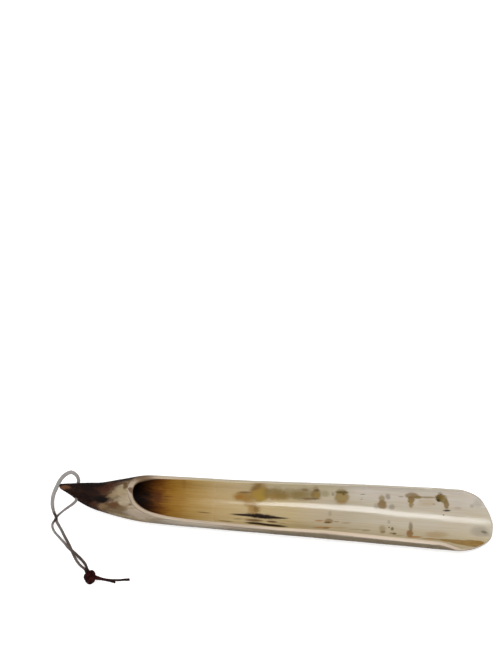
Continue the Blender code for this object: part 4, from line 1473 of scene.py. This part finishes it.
def horn_material():
    material, shader = new_material("polished_horn_surface", HornShader)
    in_hollow = shader.math("GREATER_THAN", shader.skin, 0.5)
    on_cut = shader.attribute("cut_face").fade(0.35, to=0.75)
    hollow = shader.hollow_edges(shader.stained(shader.hollow()))
    colour = shader.outside().toward(hollow, by=in_hollow).toward(shader.sawn(), by=on_cut)

    # glossy, with hairline scratches along the grain and faint haze
    scratches = shader.grain(0.10, 9.0, detail=3, rough=0.6).fade(0.55, to=0.75)
    rough = scratches.times_plus(0.05, 0.075)
    rough = rough + shader.cloud.fade(0.45, to=0.75) * 0.04
    rough = rough + on_cut * 0.10
    # the deep end of the hollow was never polished
    dull = in_hollow * shader.xyz[0].fade(205, to=120)
    normal = shader.bump(shader.fine, strength=0.05, distance=0.0003)
    normal = shader.bump(shader.fleck, strength=0.035, distance=0.0006, Normal=normal)
    shader.surface({
        "Base Color": colour,
        "Roughness": dull.times_plus(0.42, rough),
        "Specular IOR Level": dull.times_plus(-0.42, 0.5),
        "IOR": 1.54,
        "Coat Weight": dull.times_plus(-0.25, 0.25),
        "Coat Roughness": 0.05,
        "Coat IOR": 1.5,
        "Subsurface Weight": 0.12,
        "Subsurface Radius": (1.0, 0.55, 0.28),
        "Subsurface Scale": 0.0022,
        "Normal": normal,
    })
    return material


# ------------------------------------------------------------------ leather
# age, which also carries painted shade where the strands cross, colour: from worn grey to dark
# red-brown
LEATHER_COLOURS = (
    (0, (0.235, 0.23, 0.223)), (0.12, (0.205, 0.194, 0.184)), (0.26, (0.14, 0.123, 0.114)),
    (0.42, (0.088, 0.07, 0.063)), (0.6, (0.052, 0.036, 0.03)), (0.78, (0.026, 0.015, 0.0125)),
    (0.92, (0.012, 0.004, 0.0036)), (1, (0.0085, 0.0016, 0.0014)),
)


def leather_material():
    material, shader = new_material("leather_lace_surface")
    place = shader.millimetres(shader.add("TexCoord", "Object"))
    age_and_shade = shader.attribute("age_and_shade")
    blotch = shader.noise(place, scale=0.22, detail=4, rough=0.6)
    grain = shader.noise(place, scale=2.4, detail=5, rough=0.65)
    pores = shader.add(
        "TexVoronoi", "Distance", {"Vector": place, "Scale": 2.6}, feature="DISTANCE_TO_EDGE"
    )
    # darker with age, and darker still where the strands cross, which is painted shade
    colour = age_and_shade.shifted(blotch, 0.22).ramp(LEATHER_COLOURS)
    colour = colour.dyed((1.5, 1.42, 1.36), by=grain.fade(0.35, to=0.65, high=0.55))
    colour = colour.dyed((0.45, 0.4, 0.38), by=pores.fade(0.1, to=0.0) * 0.55)
    red = age_and_shade.fade(0.8, to=0.98) * blotch.fade(0.42, to=0.62)
    colour = colour.toward((0.046, 0.0052, 0.0045), by=red * 0.65)
    # painted shade: the sides of the lace, turned away from the light, are darker than its face
    border = shader.attribute("border").fade(0.55, to=1.0, high=0.62)
    colour = colour.dyed((0.34, 0.31, 0.3), by=border)
    normal = shader.bump(pores, strength=0.45, distance=0.00012)
    normal = shader.bump(grain, strength=0.4, distance=0.00016, Normal=normal)
    shader.surface({
        "Base Color": colour,
        "Roughness": grain.times_plus(0.18, age_and_shade.fade(0.2, to=1.0, low=0.62, high=0.42)),
        "Specular IOR Level": age_and_shade.fade(0.5, to=1.0, low=0.34, high=0.1),
        "Normal": normal,
    })
    return material


def dress(obj, material):
    obj.data.materials.clear()
    obj.data.materials.append(material)


dress(horn, horn_material())
leather = leather_material()
for lace in laces:
    dress(lace, leather)


# ------------------------------------------------------------------ floor, light, camera
# one long curved reflector gives the narrow highlight along the hollow: lower and upper edge points
REFLECTOR = (
    ((164, -612, 1031), (164, -487, 1097)), ((171, -676, 988), (171, -515, 1084)),
    ((190, -794, 893), (190, -566, 1057)), ((218, -850, 838), (218, -586, 1046)),
    ((247, -833, 855), (247, -565, 1057)), ((275, -783, 902), (275, -521, 1080)),
    ((303, -723, 952), (304, -462, 1107)), ((332, -670, 991), (332, -394, 1134)),
    ((360, -626, 1020), (360, -313, 1160)), ((388, -577, 1049), (389, -211, 1183)),
    ((411, -513, 1083), (409, -113, 1197)), ((426, -445, 1114), (418, -61, 1201)),
)
LIGHT_TARGET = world((270, 0, 10))
KEY_LEAN = math.radians(28)
# soft lights: name, direction from the target, distance (m), size x and y (m), power (W)
LIGHTS = (
    ("key_soft", (-0.05, -math.sin(KEY_LEAN), math.cos(KEY_LEAN)), 1.25, 0.75, 0.55, 9.0),
    ("fill_left", (-0.9, -0.5, 0.8), 1.8, 1.2, 1.2, 8.0),
    ("back_soft", (0.3, 0.9, 0.75), 1.9, 1.6, 0.8, 9.0),
)
CAMERA_DISTANCE = 16.0  # metres
CAMERA_TARGET = Vector((229, -10, 15))
VIEW_WIDTH = 525.21008  # width of the view at the target
# centre of the view along the camera's right and up axes, from the horn's origin
VIEW_CENTRE = (201.68067, 178.78151)


def build_floor():
    bpy.ops.mesh.primitive_plane_add(size=7.0, location=(0.0, 0.0, -0.0006))
    floor = bpy.context.active_object
    floor.name = "floor"
    material, shader = new_material("studio_floor")
    shader.surface({
        "Base Color": (0.86, 0.86, 0.855),
        "Roughness": 0.75,
        "Emission Color": (1.0, 1.0, 1.0),
        "Emission Strength": 0.34,
    })
    floor.data.materials.append(material)
    floor.visible_glossy = False


def build_world():
    studio = bpy.data.worlds.new("studio")
    scene.world = studio
    studio.use_nodes = True
    shader = Shader(studio.node_tree)
    height = shader.add("TexCoord", "Generated").split()[2]
    # the room is dark in reflections, and bright for soft light
    glossy = shader.add("LightPath", "Is Glossy Ray")
    shader.fill(studio.node_tree.nodes["Background"], {
        0: height.ramp(((0.0, (0.55, 0.56, 0.57)), (0.85, (0.95, 0.95, 0.95)))),
        1: glossy.fade(0.0, to=1.0, low=0.80, high=0.12, smooth=False),
    })


def build_reflector():
    mesh = bpy.data.meshes.new("reflector")
    points = [world(point) for pair in REFLECTOR for point in pair]
    faces = [(i, i + 1, i + 3, i + 2) for i in range(0, len(points) - 2, 2)]
    mesh.from_pydata(points, [], faces)
    reflector = link_mesh("reflector", mesh)
    material, shader = new_material("reflector_glow")
    shader.surface({
        "Base Color": (0, 0, 0),
        "Emission Color": (0.965, 0.985, 1.0),
        "Emission Strength": 6.8,
    })
    mesh.materials.append(material)
    reflector.visible_camera = False


def add_light(name, toward, distance, size_x, size_y, power):
    """A rectangular light facing the target, with no reflection."""
    data = bpy.data.lights.new(name, "AREA")
    data.shape, data.size, data.size_y, data.energy = "RECTANGLE", size_x, size_y, power
    light = bpy.data.objects.new(name, data)
    collection.objects.link(light)
    back = Vector(toward).normalized()
    right = Vector((1, 0, 0)) - back * back.x
    right.normalize()
    turn = Matrix((right, back.cross(right), back)).transposed().to_4x4()
    light.matrix_world = Matrix.Translation(LIGHT_TARGET + back * distance) @ turn
    light.visible_glossy = False


def build_camera():
    right = Vector((0.9965, 0.0837, 0.0)).normalized()
    back = right.cross(Vector((-0.0739, 0.880, 0.469))).normalized()
    up = back.cross(right).normalized()
    data = bpy.data.cameras.new("camera")
    data.sensor_fit = "HORIZONTAL"
    data.sensor_width = 36.0
    data.lens = data.sensor_width * CAMERA_DISTANCE / (VIEW_WIDTH * MM)
    data.shift_x = (VIEW_CENTRE[0] - CAMERA_TARGET.dot(right)) / VIEW_WIDTH
    data.shift_y = (VIEW_CENTRE[1] - CAMERA_TARGET.dot(up)) / VIEW_WIDTH
    data.clip_end = 60.0
    camera = bpy.data.objects.new("camera", data)
    collection.objects.link(camera)
    place = Matrix.Translation(world(CAMERA_TARGET) + back * CAMERA_DISTANCE)
    camera.matrix_world = place @ Matrix((right, up, back)).transposed().to_4x4()
    scene.camera = camera


build_floor()
scene.view_settings.view_transform = "Standard"
scene.view_settings.look = "None"
scene.view_settings.exposure = 0.0
build_world()
build_reflector()
for light_row in LIGHTS:
    add_light(*light_row)
build_camera()

bpy.context.view_layer.update()
